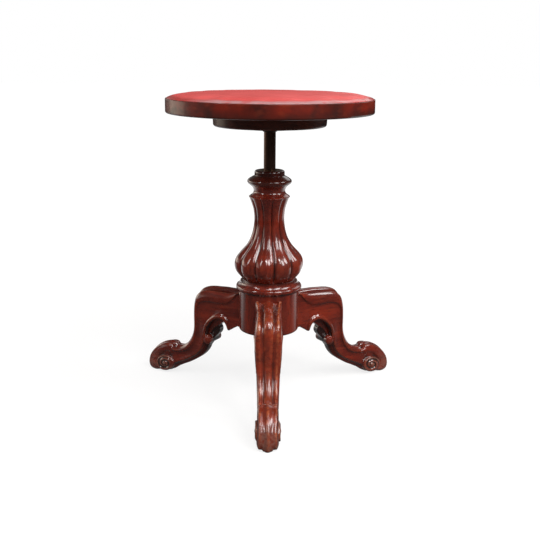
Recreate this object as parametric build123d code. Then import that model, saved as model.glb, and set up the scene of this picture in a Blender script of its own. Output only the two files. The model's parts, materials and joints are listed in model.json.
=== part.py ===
from build123d import *
from math import cos, radians, sin
import os

# Revolving piano stool, mahogany, on three scroll legs. Millimetres, +Z up.
# The origin is on the column's axis at floor level, with one leg towards -Y.

# Clearances
FIT = 0.07                 # radial, between turning metal parts
SEAT_GAP = 0.3             # between soft and hard pieces
GLUE = 0.1                 # between glued or screwed pieces
SCREW_FIT = 0.05

# How far the seat screws down and up from the height photographed
TRAVEL_DOWN = 55.0
TRAVEL_UP = 45.0
STOP_GAP = 0.5             # left at each end of the travel

# Hub
HUB_R = 51.0
HUB_BOTTOM_Z = 114.0
HUB_ROUND = 4.5            # rounding of its lower edge
DRUM_H = 70.2              # plain part that the legs stand against
COVE_H = 3.4
COVE_STEP = 1.8
RING_R = 55.8              # moulding round its top
RING_H = 6.0
RING_BULGE = 1.0
STEP_IN = 6.4              # width of the rounded step above the ring
STEP_UP = 7.4
STEP_BOW = 8.3             # radius of its rounding
HUB_TOP_H = 10.4           # column's shoulder above the ring
HUB_WALL = 8.5             # between the column's tenon and a leg's tongue

# Tongues of the legs, dovetailed into the hub from below
TONGUE_W = 15.0            # width at the hub's surface
TONGUE_FLARE = 4.0         # how much further each side reaches inside the hub
TONGUE_TOP_Z = 166.0
TONGUE_ROOT = 6.0          # length of it inside the leg

# Iron spider under the hub, with an arm to each leg
SPIDER_R = 26.0
SPIDER_ARM_INSET = 4.0     # from the end of an arm to the hub's side
SPIDER_ARM_W = 15.0
SPIDER_T = 3.0
ARM_SCREW_PLACE = 0.4      # of a screw in an arm, as a share of the tongue's length

# Column, from its foot on the hub to the collar at its top
TENON_WALL = 9.5           # round the bore of the tenon in the hub
CARVED_H = 139.4
LOBES = 10                 # carved lobes round the column
LOBE_TURN = -8.0           # degrees from the front to the nearest lobe's crest
# Share of the carved height, crest radius and groove depth, from the top down
CARVED_STATIONS = (
    (1.0, 33.6, 1.0),
    (0.947, 30.7, 2.0),
    (0.861, 26.9, 2.6),
    (0.739, 25.2, 2.8),
    (0.624, 26.8, 3.0),
    (0.516, 31.0, 3.6),
    (0.423, 38.0, 4.6),
    (0.344, 47.6, 5.6),
    (0.273, 55.6, 6.4),
    (0.194, 58.8, 6.8),
    (0.115, 56.6, 6.4),
    (0.05, 50.0, 4.6),
    (0.0, 43.6, 2.0),
)
SHOULDER_LIP = 0.6         # hub showing round the column's foot
ARRIS_R = 34.3             # sharp edge over the carved part
ARRIS_H = 1.4
NECK_R = 26.3              # hollow over the edge
NECK_H = 8.4
CAP_R = 36.9               # broad moulding over the hollow
CAP_H = 17.0
COLLAR_R = 25.0
SLOPE_H = 9.4              # from the cap's widest line up to the collar
COLLAR_H = 8.8
COLLAR_ROUND = 3.4
# Points of the turned curves, as shares of their width and height, the width from the narrow end
SLOPE_CURVE = ((0.5, 0.66), (0.92, 0.28))
CAP_CURVE = ((0.74, 0.7), (0.12, 0.29))
NECK_CURVE = (0.35, 0.42)

# Spindle, which turns in a bush at the column's top and screws through a nut lower down
SHANK_R = 9.8              # plain part, the only one that shows
THREAD_R = 8.0             # outside of the thread below it
JOURNAL_R = 6.0            # turned-down end that carries the stop washer
SHANK_IN_BLOCK = 12.0      # length of the spindle let into the seat's block
SHANK_SHOWING = 8.1        # of the shank, with the seat right down
END_ROOM = 1.8             # under the spindle then
BORE_ROOM = 1.2            # between shank and wood
BUSH_WALL = 3.2
BUSH_LEDGE = 4.5
BUSH_FLANGE_T = 3.0
BUSH_L = 25.0
NUT_WALL = 6.0             # round its thread
NUT_LEDGE = 5.5
NUT_FLANGE_T = 4.0
NUT_L = 28.0
NUT_ROOM = 1.0             # between the nut's flange and the bore below it
WASHER_R = 13.0
WASHER_T = 3.0
END_NUT_FLATS = 19.0
END_NUT_H = 8.0
END_STUB = 4.5             # spindle below its end nut
COTTER_R = 1.1
COTTER_REACH = 9.0         # half length of the cotter

# Iron flange that screws the spindle to the seat
FLANGE_R = 45.0
FLANGE_T = 4.4
FLANGE_EDGE = 1.2
BOSS_WALL = 2.7
BOSS_H = 4.5
BOSS_EDGE = 1.0
BOSS_FILLET = 3.0
CROSS_PIN_R = 1.5

# Seat
SEAT_R = 170.0             # outside of the seat's rim
RIM_H = 23.0
RIM_ROUND = 3.0            # rounding of the rim's lower outer edge
RIM_ARRIS = 0.8            # and of its upper one
RIM_LIP_W = 3.0            # wood left showing around the upholstery
REBATE_H = 3.0             # depth of the rebate that holds the cover's edge
RING_W = 32.0              # width of the ring that carries the upholstery
BOARD_LAP = 19.0           # of the board let into the ring's underside, past its opening
BOARD_H = 10.0
CROWN_H = 9.6              # rise of the seat's middle above the rim
ROLL_W = 8.0               # width of the quick rise at the upholstery's edge
ROLL_H = 4.6               # height of that rise above the rim
COVER_T = 1.5              # thickness of the leather
BLOCK_R = 94.0             # round block between board and flange
BLOCK_TAPER = 1.0          # how much narrower its lower face is
BLOCK_H = 21.6
BLOCK_ROUND = 4.0

# Screws: head radius, shank radius and length
RIM_SCREW = (3.6, 1.9, 17.0)
BLOCK_SCREW = (4.6, 2.4, 28.0)
FLANGE_SCREW = (4.2, 2.2, 18.0)
BUSH_SCREW = (1.7, 0.9, 12.0)
NUT_SCREW = (2.1, 1.1, 14.0)
ARM_SCREW = (3.0, 1.5, 16.0)
SPIDER_SCREW = (2.6, 1.3, 14.0)
SCREW_LIP = 0.4            # straight edge of a countersunk head
RIM_SCREWS, BLOCK_SCREWS, FLANGE_SCREWS = 6, 5, 4
BUSH_SCREWS, NUT_SCREWS = 2, 3
BLOCK_SCREW_INSET = 20.0   # from a screw to the edge of the piece it goes through
FLANGE_SCREW_INSET = 13.0

# Legs, made along +X: x is the distance from the hub's side, y the width, z the height
LEG_NAMES = ("leg_front", "leg_right", "leg_left")
FIRST_ANGLE = -90.0        # from +X to the first leg, the others following at equal turns
# Sections of the leg from the hub to inside the toe: outer point, inner point, half width, the middle
# rib's half width and rise, the side roll's inner edge, the groove's depth and the roll's depth down the side
LEG_STATIONS = (
    ((-5.0, 176.6), (-5.0, 116.0), 21.6, (8.3, 0.4), 14.6, 3.2, 2.4),
    ((4.0, 175.2), (4.5, 116.0), 21.6, (8.3, 1.2), 14.1, 4.4, 4.4),
    ((15.0, 172.2), (14.0, 118.6), 21.6, (8.1, 4.0), 13.1, 5.1, 11.8),
    ((27.0, 171.2), (23.6, 127.4), 21.7, (8.0, 5.0), 12.3, 5.1, 17.2),
    ((45.0, 171.0), (38.0, 129.2), 21.8, (8.0, 5.0), 11.4, 4.8, 18.6),
    ((64.0, 170.0), (51.0, 122.4), 21.8, (8.0, 4.7), 11.2, 4.5, 19.0),
    ((79.6, 165.4), (60.2, 114.6), 21.7, (7.9, 4.0), 11.0, 4.2, 18.2),
    ((86.8, 156.6), (65.2, 108.4), 21.5, (7.7, 3.4), 10.6, 4.0, 15.4),
    ((91.2, 145.0), (68.8, 102.2), 21.1, (7.3, 2.9), 10.0, 3.6, 12.2),
    ((93.3, 131.0), (71.0, 95.6), 20.6, (6.8, 2.5), 9.3, 3.3, 9.7),
    ((93.9, 110.0), (72.6, 84.4), 19.9, (6.1, 2.1), 8.3, 3.0, 7.8),
    ((95.9, 91.0), (74.0, 72.4), 19.1, (5.6, 1.9), 7.7, 3.0, 7.7),
    ((100.2, 79.6), (76.8, 64.2), 18.6, (5.6, 1.9), 7.6, 3.0, 8.6),
    ((107.0, 68.6), (81.8, 55.2), 18.1, (5.7, 2.0), 7.7, 3.0, 9.8),
    ((116.3, 59.4), (90.0, 46.2), 17.6, (5.9, 2.1), 7.9, 3.1, 11.0),
    ((127.6, 52.8), (102.0, 37.8), 17.2, (6.1, 2.2), 8.2, 3.2, 10.6),
    ((138.0, 50.2), (116.0, 30.2), 16.9, (6.2, 2.2), 8.6, 3.2, 8.8),
    ((147.0, 50.0), (130.0, 24.2), 16.7, (6.2, 2.0), 9.0, 3.0, 7.2),
    ((155.0, 49.4), (142.0, 18.4), 16.4, (6.2, 1.0), 9.4, 2.6, 6.0),
    ((166.0, 43.0), (158.0, 10.0), 14.8, (6.0, 0.0), 9.6, 2.0, 5.0),
)
# Shape of that section: shares of the rib's half width and rise, of the groove's depth, and of the
# roll's width and depth down the side
RIB_SHOULDER = (0.6, 0.86)
RIB_FOOT = (0.4, 0.5)
ROLL_FOOT = (0.16, 0.4)
ROLL_CREST = 0.5
ROLL_SHOULDER = (0.9, 0.25)
ROLL_WIDEST = 0.58
BAND_STEP = 2.3            # the side face lies this far inside the side roll
ARCH_LIP = 1.0             # and flares out to this far inside it at its lower edge
TOE_CENTRE = (163.0, 17.2)  # middle of the volute, which the toe winds round
# Sections of the toe: angle round the volute, crest's radius, drop of the side roll below it,
# radius of the roll's lower edge, half width, the roll's inner edge
TOE_SECTIONS = (
    (132.0, 34.0, 2.6, 24.0, 12.0, 4.6),
    (120.0, 40.4, 2.6, 26.0, 15.4, 5.0),
    (108.0, 42.5, 2.6, 25.8, 16.8, 6.4),
    (92.0, 40.4, 2.7, 22.2, 16.9, 8.2),
    (72.0, 37.4, 2.8, 19.2, 16.5, 8.6),
    (52.0, 36.8, 3.0, 17.8, 16.0, 8.5),
    (32.0, 38.0, 3.2, 17.2, 15.7, 8.3),
    (12.0, 40.8, 3.4, 17.4, 15.8, 7.8),
    (-6.0, 43.4, 4.2, 18.6, 16.5, 7.2),
    (-20.0, 44.4, 6.0, 19.2, 17.0, 6.8),
    (-34.0, 39.0, 7.4, 17.0, 16.8, 6.6),
    (-52.0, 26.4, 6.2, 12.8, 16.0, 6.4),
    (-76.0, 19.2, 4.0, 10.8, 15.0, 6.4),
    (-110.0, 16.8, 2.6, 9.6, 14.2, 6.4),
)
TOE_RIDGE_W = 3.4          # half width of the middle ridge
TOE_FLUTE = 3.3            # depth of the flutes beside it
FLUTE_MIDDLE = 0.92        # share of the roll's inner edge where the flute is deepest
TOE_ROLL_W = 1.6           # from the roll's inner edge to its crest
TOE_SHOULDER = (1.2, 0.3)  # how far inside the widest line, and share of the side's depth
TOE_WIDEST = 0.7
TOE_CORE_R = 4.0
VOLUTE_LONG = 19.4         # half lengths of the oval volute
VOLUTE_SHORT = 14.2
VOLUTE_TILT = -13.0
VOLUTE_REACH = 19.2        # half width over the two volutes
EYE_R = 5.4
EYE_REACH = 20.8
# Side view of the drop at the hub and of the web inside the scroll
PENDANT = ((-5.0, 114.2), (2.0, 113.8), (11.0, 108.6), (18.6, 103.6), (22.4, 104.8), (24.2, 109.6),
           (21.0, 116.0), (17.0, 122.0), (9.0, 128.0), (-5.0, 128.0))
PENDANT_W = 19.6
WEB = ((15.0, 116.0), (25.0, 113.0), (31.0, 107.6), (41.5, 107.0), (46.8, 100.6), (41.6, 97.0), (38.4, 92.4),
       (39.2, 87.6), (51.6, 79.0), (63.6, 64.4), (79.0, 51.2), (99.0, 38.8), (105.0, 42.0), (85.0, 70.0),
       (79.0, 96.0), (61.0, 120.0), (39.0, 134.0), (13.0, 130.0))
WEB_W = 9.2
SCROLL_CENTRE = (61.2, 82.4)
SCROLL_R = 8.1
SCROLL_REACH = 20.0
SCROLL_DOME = 2.4          # rounding of the scroll's button

# Worked out from the sizes above, from the floor up
DRUM_TOP_Z = HUB_BOTTOM_Z + DRUM_H
RING_FOOT_Z = DRUM_TOP_Z + COVE_H
RING_TOP_Z = RING_FOOT_Z + RING_H
COLUMN_FOOT_Z = RING_TOP_Z + HUB_TOP_H
CARVED_TOP_Z = COLUMN_FOOT_Z + CARVED_H
ARRIS_Z = CARVED_TOP_Z + ARRIS_H
NECK_Z = ARRIS_Z + NECK_H
CAP_Z = NECK_Z + CAP_H
COLLAR_FOOT_Z = CAP_Z + SLOPE_H
COLLAR_TOP_Z = COLLAR_FOOT_Z + COLLAR_H
BOSS_BOTTOM_Z = COLLAR_TOP_Z + TRAVEL_DOWN + SHANK_SHOWING
FLANGE_BOTTOM_Z = BOSS_BOTTOM_Z + BOSS_H
BLOCK_BOTTOM_Z = FLANGE_BOTTOM_Z + FLANGE_T
RIM_BOTTOM_Z = BLOCK_BOTTOM_Z + BLOCK_H
BOARD_TOP_Z = RIM_BOTTOM_Z + BOARD_H
RIM_TOP_Z = RIM_BOTTOM_Z + RIM_H
REBATE_Z = RIM_TOP_Z - REBATE_H
SPINDLE_BOTTOM_Z = HUB_BOTTOM_Z + END_ROOM + TRAVEL_DOWN
END_NUT_TOP_Z = SPINDLE_BOTTOM_Z + END_STUB + END_NUT_H
WASHER_TOP_Z = END_NUT_TOP_Z + WASHER_T + 2 * GLUE
NUT_FACE_Z = WASHER_TOP_Z + TRAVEL_UP + STOP_GAP
NUT_BOTTOM_Z = NUT_FACE_Z + NUT_FLANGE_T
NUT_TOP_Z = NUT_BOTTOM_Z + NUT_L
SHANK_BOTTOM_Z = NUT_TOP_Z + TRAVEL_DOWN + STOP_GAP
PIN_Z = BOSS_BOTTOM_Z + BOSS_H / 2
COTTER_Z = SPINDLE_BOTTOM_Z + END_STUB / 2

# From the seat's edge inwards
RIM_OPENING_R = SEAT_R - RING_W
BOARD_R = RIM_OPENING_R + BOARD_LAP
UPHOLSTERY_R = SEAT_R - RIM_LIP_W - SEAT_GAP
COVER_BASE_Z = REBATE_Z + SEAT_GAP

# From the thread outwards
NUT_R = THREAD_R + NUT_WALL
NUT_FLANGE_R = NUT_R + NUT_LEDGE
LOW_BORE_R = NUT_FLANGE_R + NUT_ROOM
TENON_R = LOW_BORE_R + TENON_WALL
TONGUE_R = TENON_R + HUB_WALL
MID_BORE_R = SHANK_R + BORE_ROOM
BUSH_R = SHANK_R + BUSH_WALL
BUSH_FLANGE_R = BUSH_R + BUSH_LEDGE
BOSS_R = SHANK_R + BOSS_WALL
HUB_SEAT_R = CARVED_STATIONS[-1][1] + SHOULDER_LIP
LEG_STEP = 360.0 / len(LEG_NAMES)
LEG_ANGLES = {name: FIRST_ANGLE + place * LEG_STEP for place, name in enumerate(LEG_NAMES)}


def revolved(points):
    """Solid turned about Z from straight runs through (radius, height) points."""
    return revolve(Plane.XZ * make_face(Polyline(*points, close=True)), Axis.Z)


def turned(edges):
    """Solid turned about Z from a closed outline of edges in the XZ plane."""
    return revolve(Plane.XZ * make_face(Curve() + edges), Axis.Z)


def rod(radius, low, high):
    return Pos(0, 0, low) * Cylinder(radius, high - low, align=(Align.CENTER, Align.CENTER, Align.MIN))


def cross_rod(radius, reach, height):
    """Rod that lies along X, across the spindle."""
    return Pos(0, 0, height) * Rot(0, 90, 0) * Cylinder(radius, 2 * reach)


def group(shapes):
    return Compound(children=list(shapes))


def wood_screw(size, grow=0.0):
    """Countersunk screw, head's face at z = 0 and point upwards."""
    head_r, shank_r, length = size
    shank_z = SCREW_LIP + head_r - shank_r
    return revolved([
        (0, 0), (head_r + grow, 0), (head_r + grow, SCREW_LIP), (shank_r + grow, shank_z),
        (shank_r + grow, length - 2 * shank_r), (0, length + grow),
    ])


def screw_ring(size, count, circle_r, face_z, first_angle=0.0, grow=0.0):
    """Screws set out on a circle, or with some growth the holes that take them."""
    angles = [first_angle + 360.0 * i / count for i in range(count)]
    return [Rot(0, 0, angle) * Pos(circle_r, 0, face_z) * wood_screw(size, grow) for angle in angles]


# The seat's screws

def rim_screws(grow=0.0):
    return screw_ring(RIM_SCREW, RIM_SCREWS, (RIM_OPENING_R + BOARD_R) / 2, RIM_BOTTOM_Z, grow=grow)


def block_screws(grow=0.0):
    return screw_ring(BLOCK_SCREW, BLOCK_SCREWS, BLOCK_R - BLOCK_SCREW_INSET, BLOCK_BOTTOM_Z, grow=grow)


def flange_screws(grow=0.0):
    circle_r = FLANGE_R - FLANGE_SCREW_INSET
    return screw_ring(FLANGE_SCREW, FLANGE_SCREWS, circle_r, FLANGE_BOTTOM_Z, 45, grow)


# Seat

def crown_edges(inset):
    """Domed top of the upholstery as seen from the side, from its edge to the middle."""
    edge_r = UPHOLSTERY_R - inset
    shoulder = (UPHOLSTERY_R - ROLL_W, RIM_TOP_Z + ROLL_H - inset)
    middle = (0, RIM_TOP_Z + CROWN_H - inset)
    return [
        Bezier((edge_r, COVER_BASE_Z), (edge_r, shoulder[1]), shoulder),
        Bezier(shoulder, (shoulder[0] / 2, middle[1]), middle),
    ]


def seat_rim():
    lip_r = SEAT_R - RIM_LIP_W
    return turned([
        Polyline(
            (SEAT_R - RIM_ARRIS, RIM_TOP_Z), (lip_r, RIM_TOP_Z), (lip_r, REBATE_Z), (RIM_OPENING_R, REBATE_Z),
            (RIM_OPENING_R, BOARD_TOP_Z + GLUE), (BOARD_R + GLUE, BOARD_TOP_Z + GLUE),
            (BOARD_R + GLUE, RIM_BOTTOM_Z), (SEAT_R - RIM_ROUND, RIM_BOTTOM_Z),
        ),
        RadiusArc((SEAT_R - RIM_ROUND, RIM_BOTTOM_Z), (SEAT_R, RIM_BOTTOM_Z + RIM_ROUND), -RIM_ROUND),
        Line((SEAT_R, RIM_BOTTOM_Z + RIM_ROUND), (SEAT_R, RIM_TOP_Z - RIM_ARRIS)),
        RadiusArc((SEAT_R, RIM_TOP_Z - RIM_ARRIS), (SEAT_R - RIM_ARRIS, RIM_TOP_Z), -RIM_ARRIS),
    ])


def seat_padding():
    """Fills the rim's opening and carries the cover, with its own crown under the leather's."""
    inner_r = RIM_OPENING_R - SEAT_GAP
    inset = COVER_T + SEAT_GAP
    low = BOARD_TOP_Z + SEAT_GAP
    sides = Polyline(
        (0, RIM_TOP_Z + CROWN_H - inset), (0, low), (inner_r, low), (inner_r, COVER_BASE_Z),
        (UPHOLSTERY_R - inset, COVER_BASE_Z),
    )
    return turned(crown_edges(inset) + [sides])


def seat_cover():
    hem = Line((UPHOLSTERY_R, COVER_BASE_Z), (UPHOLSTERY_R - COVER_T, COVER_BASE_Z))
    middle = Line((0, RIM_TOP_Z + CROWN_H), (0, RIM_TOP_Z + CROWN_H - COVER_T))
    return turned(crown_edges(0) + crown_edges(COVER_T) + [hem, middle])


def seat_block():
    foot_r = BLOCK_R - BLOCK_TAPER
    arc_start = (foot_r - BLOCK_ROUND, BLOCK_BOTTOM_Z)
    arc_end = (foot_r, BLOCK_BOTTOM_Z + BLOCK_ROUND)
    body = turned([
        RadiusArc(arc_start, arc_end, -BLOCK_ROUND),
        Polyline(arc_end, (BLOCK_R, RIM_BOTTOM_Z), (0, RIM_BOTTOM_Z), (0, BLOCK_BOTTOM_Z), arc_start),
    ])
    return body - rod(SHANK_R + GLUE, BLOCK_BOTTOM_Z, BLOCK_BOTTOM_Z + SHANK_IN_BLOCK + GLUE)


def screw_flange():
    bore_r = SHANK_R + GLUE
    fillet_start = (BOSS_R + BOSS_FILLET, FLANGE_BOTTOM_Z)
    fillet_end = (BOSS_R, FLANGE_BOTTOM_Z - BOSS_FILLET)
    body = turned([
        Polyline(
            (BOSS_R - BOSS_EDGE, BOSS_BOTTOM_Z), (bore_r, BOSS_BOTTOM_Z), (bore_r, BLOCK_BOTTOM_Z),
            (FLANGE_R, BLOCK_BOTTOM_Z), (FLANGE_R, FLANGE_BOTTOM_Z + FLANGE_EDGE),
            (FLANGE_R - FLANGE_EDGE, FLANGE_BOTTOM_Z), fillet_start,
        ),
        RadiusArc(fillet_start, fillet_end, -BOSS_FILLET),
        Polyline(fillet_end, (BOSS_R, BOSS_BOTTOM_Z + BOSS_EDGE), (BOSS_R - BOSS_EDGE, BOSS_BOTTOM_Z)),
    ])
    return body - cross_rod(CROSS_PIN_R + SCREW_FIT, FLANGE_R, PIN_Z)


# Spindle and its stops

def spindle():
    body = rod(SHANK_R, SHANK_BOTTOM_Z, BLOCK_BOTTOM_Z + SHANK_IN_BLOCK)
    body += rod(THREAD_R, WASHER_TOP_Z + GLUE, SHANK_BOTTOM_Z)
    body += rod(JOURNAL_R, SPINDLE_BOTTOM_Z, WASHER_TOP_Z + GLUE)
    body -= cross_rod(CROSS_PIN_R + SCREW_FIT, FLANGE_R, PIN_Z)
    return body - cross_rod(COTTER_R + SCREW_FIT, COTTER_REACH, COTTER_Z)


def stop_washer():
    return rod(WASHER_R, WASHER_TOP_Z - WASHER_T, WASHER_TOP_Z) - rod(JOURNAL_R + FIT, 0, RIM_TOP_Z)


def end_nut():
    blank = extrude(RegularPolygon(END_NUT_FLATS / 2, 6, major_radius=False), END_NUT_H)
    return Pos(0, 0, END_NUT_TOP_Z - END_NUT_H) * blank - rod(JOURNAL_R + SCREW_FIT, 0, RIM_TOP_Z)


# Column and what it holds

def bush_screws(grow=0.0):
    """The bush's screws go in from above."""
    turned_over = Pos(0, 0, COLLAR_TOP_Z) * Rot(180, 0, 0)
    ring = screw_ring(BUSH_SCREW, BUSH_SCREWS, (BUSH_R + BUSH_FLANGE_R) / 2, 0, grow=grow)
    return [turned_over * screw for screw in ring]


def nut_screws(grow=0.0):
    return screw_ring(NUT_SCREW, NUT_SCREWS, (NUT_R + NUT_FLANGE_R) / 2, NUT_FACE_Z, grow=grow)


def guide_bush():
    body = rod(BUSH_R, COLLAR_TOP_Z - BUSH_L, COLLAR_TOP_Z)
    body += rod(BUSH_FLANGE_R, COLLAR_TOP_Z - BUSH_FLANGE_T, COLLAR_TOP_Z)
    return body - rod(SHANK_R + FIT, 0, RIM_TOP_Z)


def thread_nut():
    body = rod(NUT_R, NUT_FACE_Z, NUT_TOP_Z) + rod(NUT_FLANGE_R, NUT_FACE_Z, NUT_BOTTOM_Z)
    return body - rod(THREAD_R + FIT, 0, RIM_TOP_Z)


def lobed_ring(share, crest_r, groove):
    """Closed ring of arcs that meet in grooves, one arc to a lobe."""
    height = COLUMN_FOOT_Z + share * CARVED_H
    step = 360.0 / LOBES

    def at(radius, angle):
        return (radius * cos(radians(angle)), radius * sin(radians(angle)), height)

    arcs = []
    for lobe in range(LOBES):
        crest = FIRST_ANGLE + LOBE_TURN + lobe * step
        ends = [at(crest_r - groove, crest + side * step / 2) for side in (-1, 1)]
        arcs.append(ThreePointArc(ends[0], at(crest_r, crest), ends[1]))
    return Wire(arcs)


def column():
    """Turned mouldings over a stem carved in lobes, with a tenon below and a stepped bore."""
    carved = Solid.make_loft([lobed_ring(*station) for station in CARVED_STATIONS])
    round_start = (COLLAR_R - COLLAR_ROUND, COLLAR_TOP_Z)
    round_end = (COLLAR_R, COLLAR_TOP_Z - COLLAR_ROUND)
    slope_w = CAP_R - COLLAR_R
    cap_w = CAP_R - NECK_R
    neck_w = ARRIS_R - NECK_R
    slope = [(COLLAR_R + across * slope_w, CAP_Z + up * SLOPE_H) for across, up in SLOPE_CURVE]
    cap = [(NECK_R + across * cap_w, NECK_Z + up * CAP_H) for across, up in CAP_CURVE]
    neck = (NECK_R + NECK_CURVE[0] * neck_w, ARRIS_Z + NECK_CURVE[1] * NECK_H)
    mouldings = turned([
        Polyline((ARRIS_R, ARRIS_Z), (NECK_R, CARVED_TOP_Z), (0, CARVED_TOP_Z), (0, COLLAR_TOP_Z),
                 round_start),
        RadiusArc(round_start, round_end, COLLAR_ROUND),
        Line(round_end, (COLLAR_R, COLLAR_FOOT_Z)),
        Spline((COLLAR_R, COLLAR_FOOT_Z), *slope, (CAP_R, CAP_Z)),
        Spline((CAP_R, CAP_Z), *cap, (NECK_R, NECK_Z), neck, (ARRIS_R, ARRIS_Z)),
    ])
    body = mouldings + carved + rod(TENON_R, HUB_BOTTOM_Z + GLUE, COLUMN_FOOT_Z)
    body -= rod(BUSH_FLANGE_R + GLUE, COLLAR_TOP_Z - BUSH_FLANGE_T - GLUE, BOSS_BOTTOM_Z)
    body -= rod(BUSH_R + GLUE, COLLAR_TOP_Z - BUSH_L - GLUE, COLLAR_TOP_Z)
    body -= rod(MID_BORE_R, NUT_TOP_Z, COLLAR_TOP_Z)
    body -= rod(NUT_R + GLUE, NUT_BOTTOM_Z, NUT_TOP_Z + GLUE)
    body -= rod(LOW_BORE_R, HUB_BOTTOM_Z, NUT_BOTTOM_Z + GLUE)
    return body - bush_screws(SCREW_FIT) - nut_screws(SCREW_FIT)


# Hub and what joins the legs to it

def tongue(grow=0.0):
    """Tongue that slides up into the hub from below; its socket is the same shape, grown."""
    outer_w = TONGUE_W / 2 + grow
    inner_w = outer_w + TONGUE_FLARE
    side = [(TONGUE_R - grow, inner_w), (HUB_R, outer_w), (HUB_R + TONGUE_ROOT, outer_w)]
    outline = side + [(x, -y) for x, y in reversed(side)]
    low = HUB_BOTTOM_Z + GLUE - grow
    plan = make_face(Polyline(*outline, close=True))
    return Pos(0, 0, low) * extrude(plan, TONGUE_TOP_Z + grow - low)


def hub():
    """Turned drum with a cove, a ring and a stepped top, bored for the column and slotted for the legs."""
    bore_r = TENON_R + GLUE
    foot_r = HUB_R - HUB_ROUND
    ring_face_r = RING_R - RING_BULGE
    step_r = ring_face_r - STEP_IN
    body = turned([
        Polyline((HUB_SEAT_R, COLUMN_FOOT_Z), (bore_r, COLUMN_FOOT_Z), (bore_r, HUB_BOTTOM_Z),
                 (foot_r, HUB_BOTTOM_Z)),
        RadiusArc((foot_r, HUB_BOTTOM_Z), (HUB_R, HUB_BOTTOM_Z + HUB_ROUND), -HUB_ROUND),
        Line((HUB_R, HUB_BOTTOM_Z + HUB_ROUND), (HUB_R, DRUM_TOP_Z)),
        Polyline((HUB_R, DRUM_TOP_Z), (HUB_R + COVE_STEP, RING_FOOT_Z), (ring_face_r, RING_FOOT_Z)),
        ThreePointArc((ring_face_r, RING_FOOT_Z), (RING_R, RING_FOOT_Z + RING_H / 2),
                      (ring_face_r, RING_TOP_Z)),
        RadiusArc((ring_face_r, RING_TOP_Z), (step_r, RING_TOP_Z + STEP_UP), STEP_BOW),
        Polyline((step_r, RING_TOP_Z + STEP_UP), (HUB_SEAT_R, RING_TOP_Z + STEP_UP),
                 (HUB_SEAT_R, COLUMN_FOOT_Z)),
    ])
    return body - [Rot(0, 0, angle) * tongue(GLUE) for angle in LEG_ANGLES.values()]


def base_spider():
    arm_l = HUB_R - SPIDER_ARM_INSET
    arm = Pos(arm_l / 2, 0) * Rectangle(arm_l, SPIDER_ARM_W)
    plan = Circle(SPIDER_R) + [Rot(0, 0, angle) * arm for angle in LEG_ANGLES.values()]
    return Pos(0, 0, HUB_BOTTOM_Z - SPIDER_T) * extrude(plan, SPIDER_T)


def spider_screws(grow=0.0):
    """One screw up into each leg's tongue, and one into the hub between the legs."""
    legs = len(LEG_NAMES)
    face_z = HUB_BOTTOM_Z - SPIDER_T
    circle_r = TONGUE_R + ARM_SCREW_PLACE * (HUB_R - TONGUE_R)
    arm_screws = screw_ring(ARM_SCREW, legs, circle_r, face_z, FIRST_ANGLE, grow)
    between = FIRST_ANGLE + LEG_STEP / 2
    return arm_screws + screw_ring(SPIDER_SCREW, legs, TENON_R + HUB_WALL / 2, face_z, between, grow)


# Legs

def leg_section(outer, inner, half_w, rib, roll_in, groove, band):
    """Closed wire across the leg: rib, grooves and side rolls on top, inset sides and underside."""
    run, rise = outer[0] - inner[0], outer[1] - inner[1]
    length = (run ** 2 + rise ** 2) ** 0.5
    rib_w, rib_h = rib
    roll_w = half_w - roll_in

    def at(across, height):
        return (outer[0] + height * run / length, across, outer[1] + height * rise / length)

    half = [
        (0.0, rib_h), (RIB_SHOULDER[0] * rib_w, RIB_SHOULDER[1] * rib_h),
        (rib_w, RIB_FOOT[0] * rib_h - RIB_FOOT[1] * groove), ((rib_w + roll_in) / 2, -groove),
        (roll_in + ROLL_FOOT[0] * roll_w, -ROLL_FOOT[1] * groove), (roll_in + ROLL_CREST * roll_w, 0.0),
        (roll_in + ROLL_SHOULDER[0] * roll_w, -ROLL_SHOULDER[1] * band), (half_w, -ROLL_WIDEST * band),
        (half_w - BAND_STEP, -band),
    ]
    top = [at(across, height) for across, height in half[::-1]]
    top += [at(-across, height) for across, height in half[1:]]
    foot_w = half_w - ARCH_LIP
    foot = [at(-foot_w, -length), at(foot_w, -length)]
    return Wire([Spline(*top), *Polyline(top[-1], *foot, top[0]).edges()])


def toe_section(angle, crest, drop, edge_r, half_w, roll_in):
    """Closed wire across the toe: ridge, flutes and side rolls outside, flat sides down to the core."""
    roll = crest - drop
    side = roll - edge_r

    def at(across, reach):
        turn = radians(angle)
        return (TOE_CENTRE[0] + reach * cos(turn), across, TOE_CENTRE[1] + reach * sin(turn))

    half = [
        (0.0, crest), (TOE_RIDGE_W, crest - TOE_FLUTE / 2), (FLUTE_MIDDLE * roll_in, crest - TOE_FLUTE),
        (roll_in + TOE_ROLL_W, roll), ((roll_in + half_w) / 2, roll),
        (half_w - TOE_SHOULDER[0], roll - TOE_SHOULDER[1] * side), (half_w, roll - TOE_WIDEST * side),
        (half_w - BAND_STEP, edge_r),
    ]
    top = [at(across, reach) for across, reach in half[::-1]]
    top += [at(-across, reach) for across, reach in half[1:]]
    core_w = half_w - BAND_STEP
    core = [at(-core_w, TOE_CORE_R), at(core_w, TOE_CORE_R)]
    return Wire([Spline(*top), *Polyline(top[-1], *core, top[0]).edges()])


def slab(points, half_w):
    """Solid cut to a smooth side view, centred on the leg's middle."""
    return extrude(Plane.XZ * make_face(Spline(*points, periodic=True)), half_w, both=True)


def roll(centre, radius, reach):
    """Rod across the leg."""
    return Pos(centre[0], 0, centre[1]) * Rot(90, 0, 0) * Cylinder(radius, 2 * reach)


def scroll_button():
    """Rod whose domed ends close the scroll inside the arch."""
    button = roll(SCROLL_CENTRE, SCROLL_R, SCROLL_REACH)
    return fillet(button.edges().filter_by(GeomType.CIRCLE), SCROLL_DOME)


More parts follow.
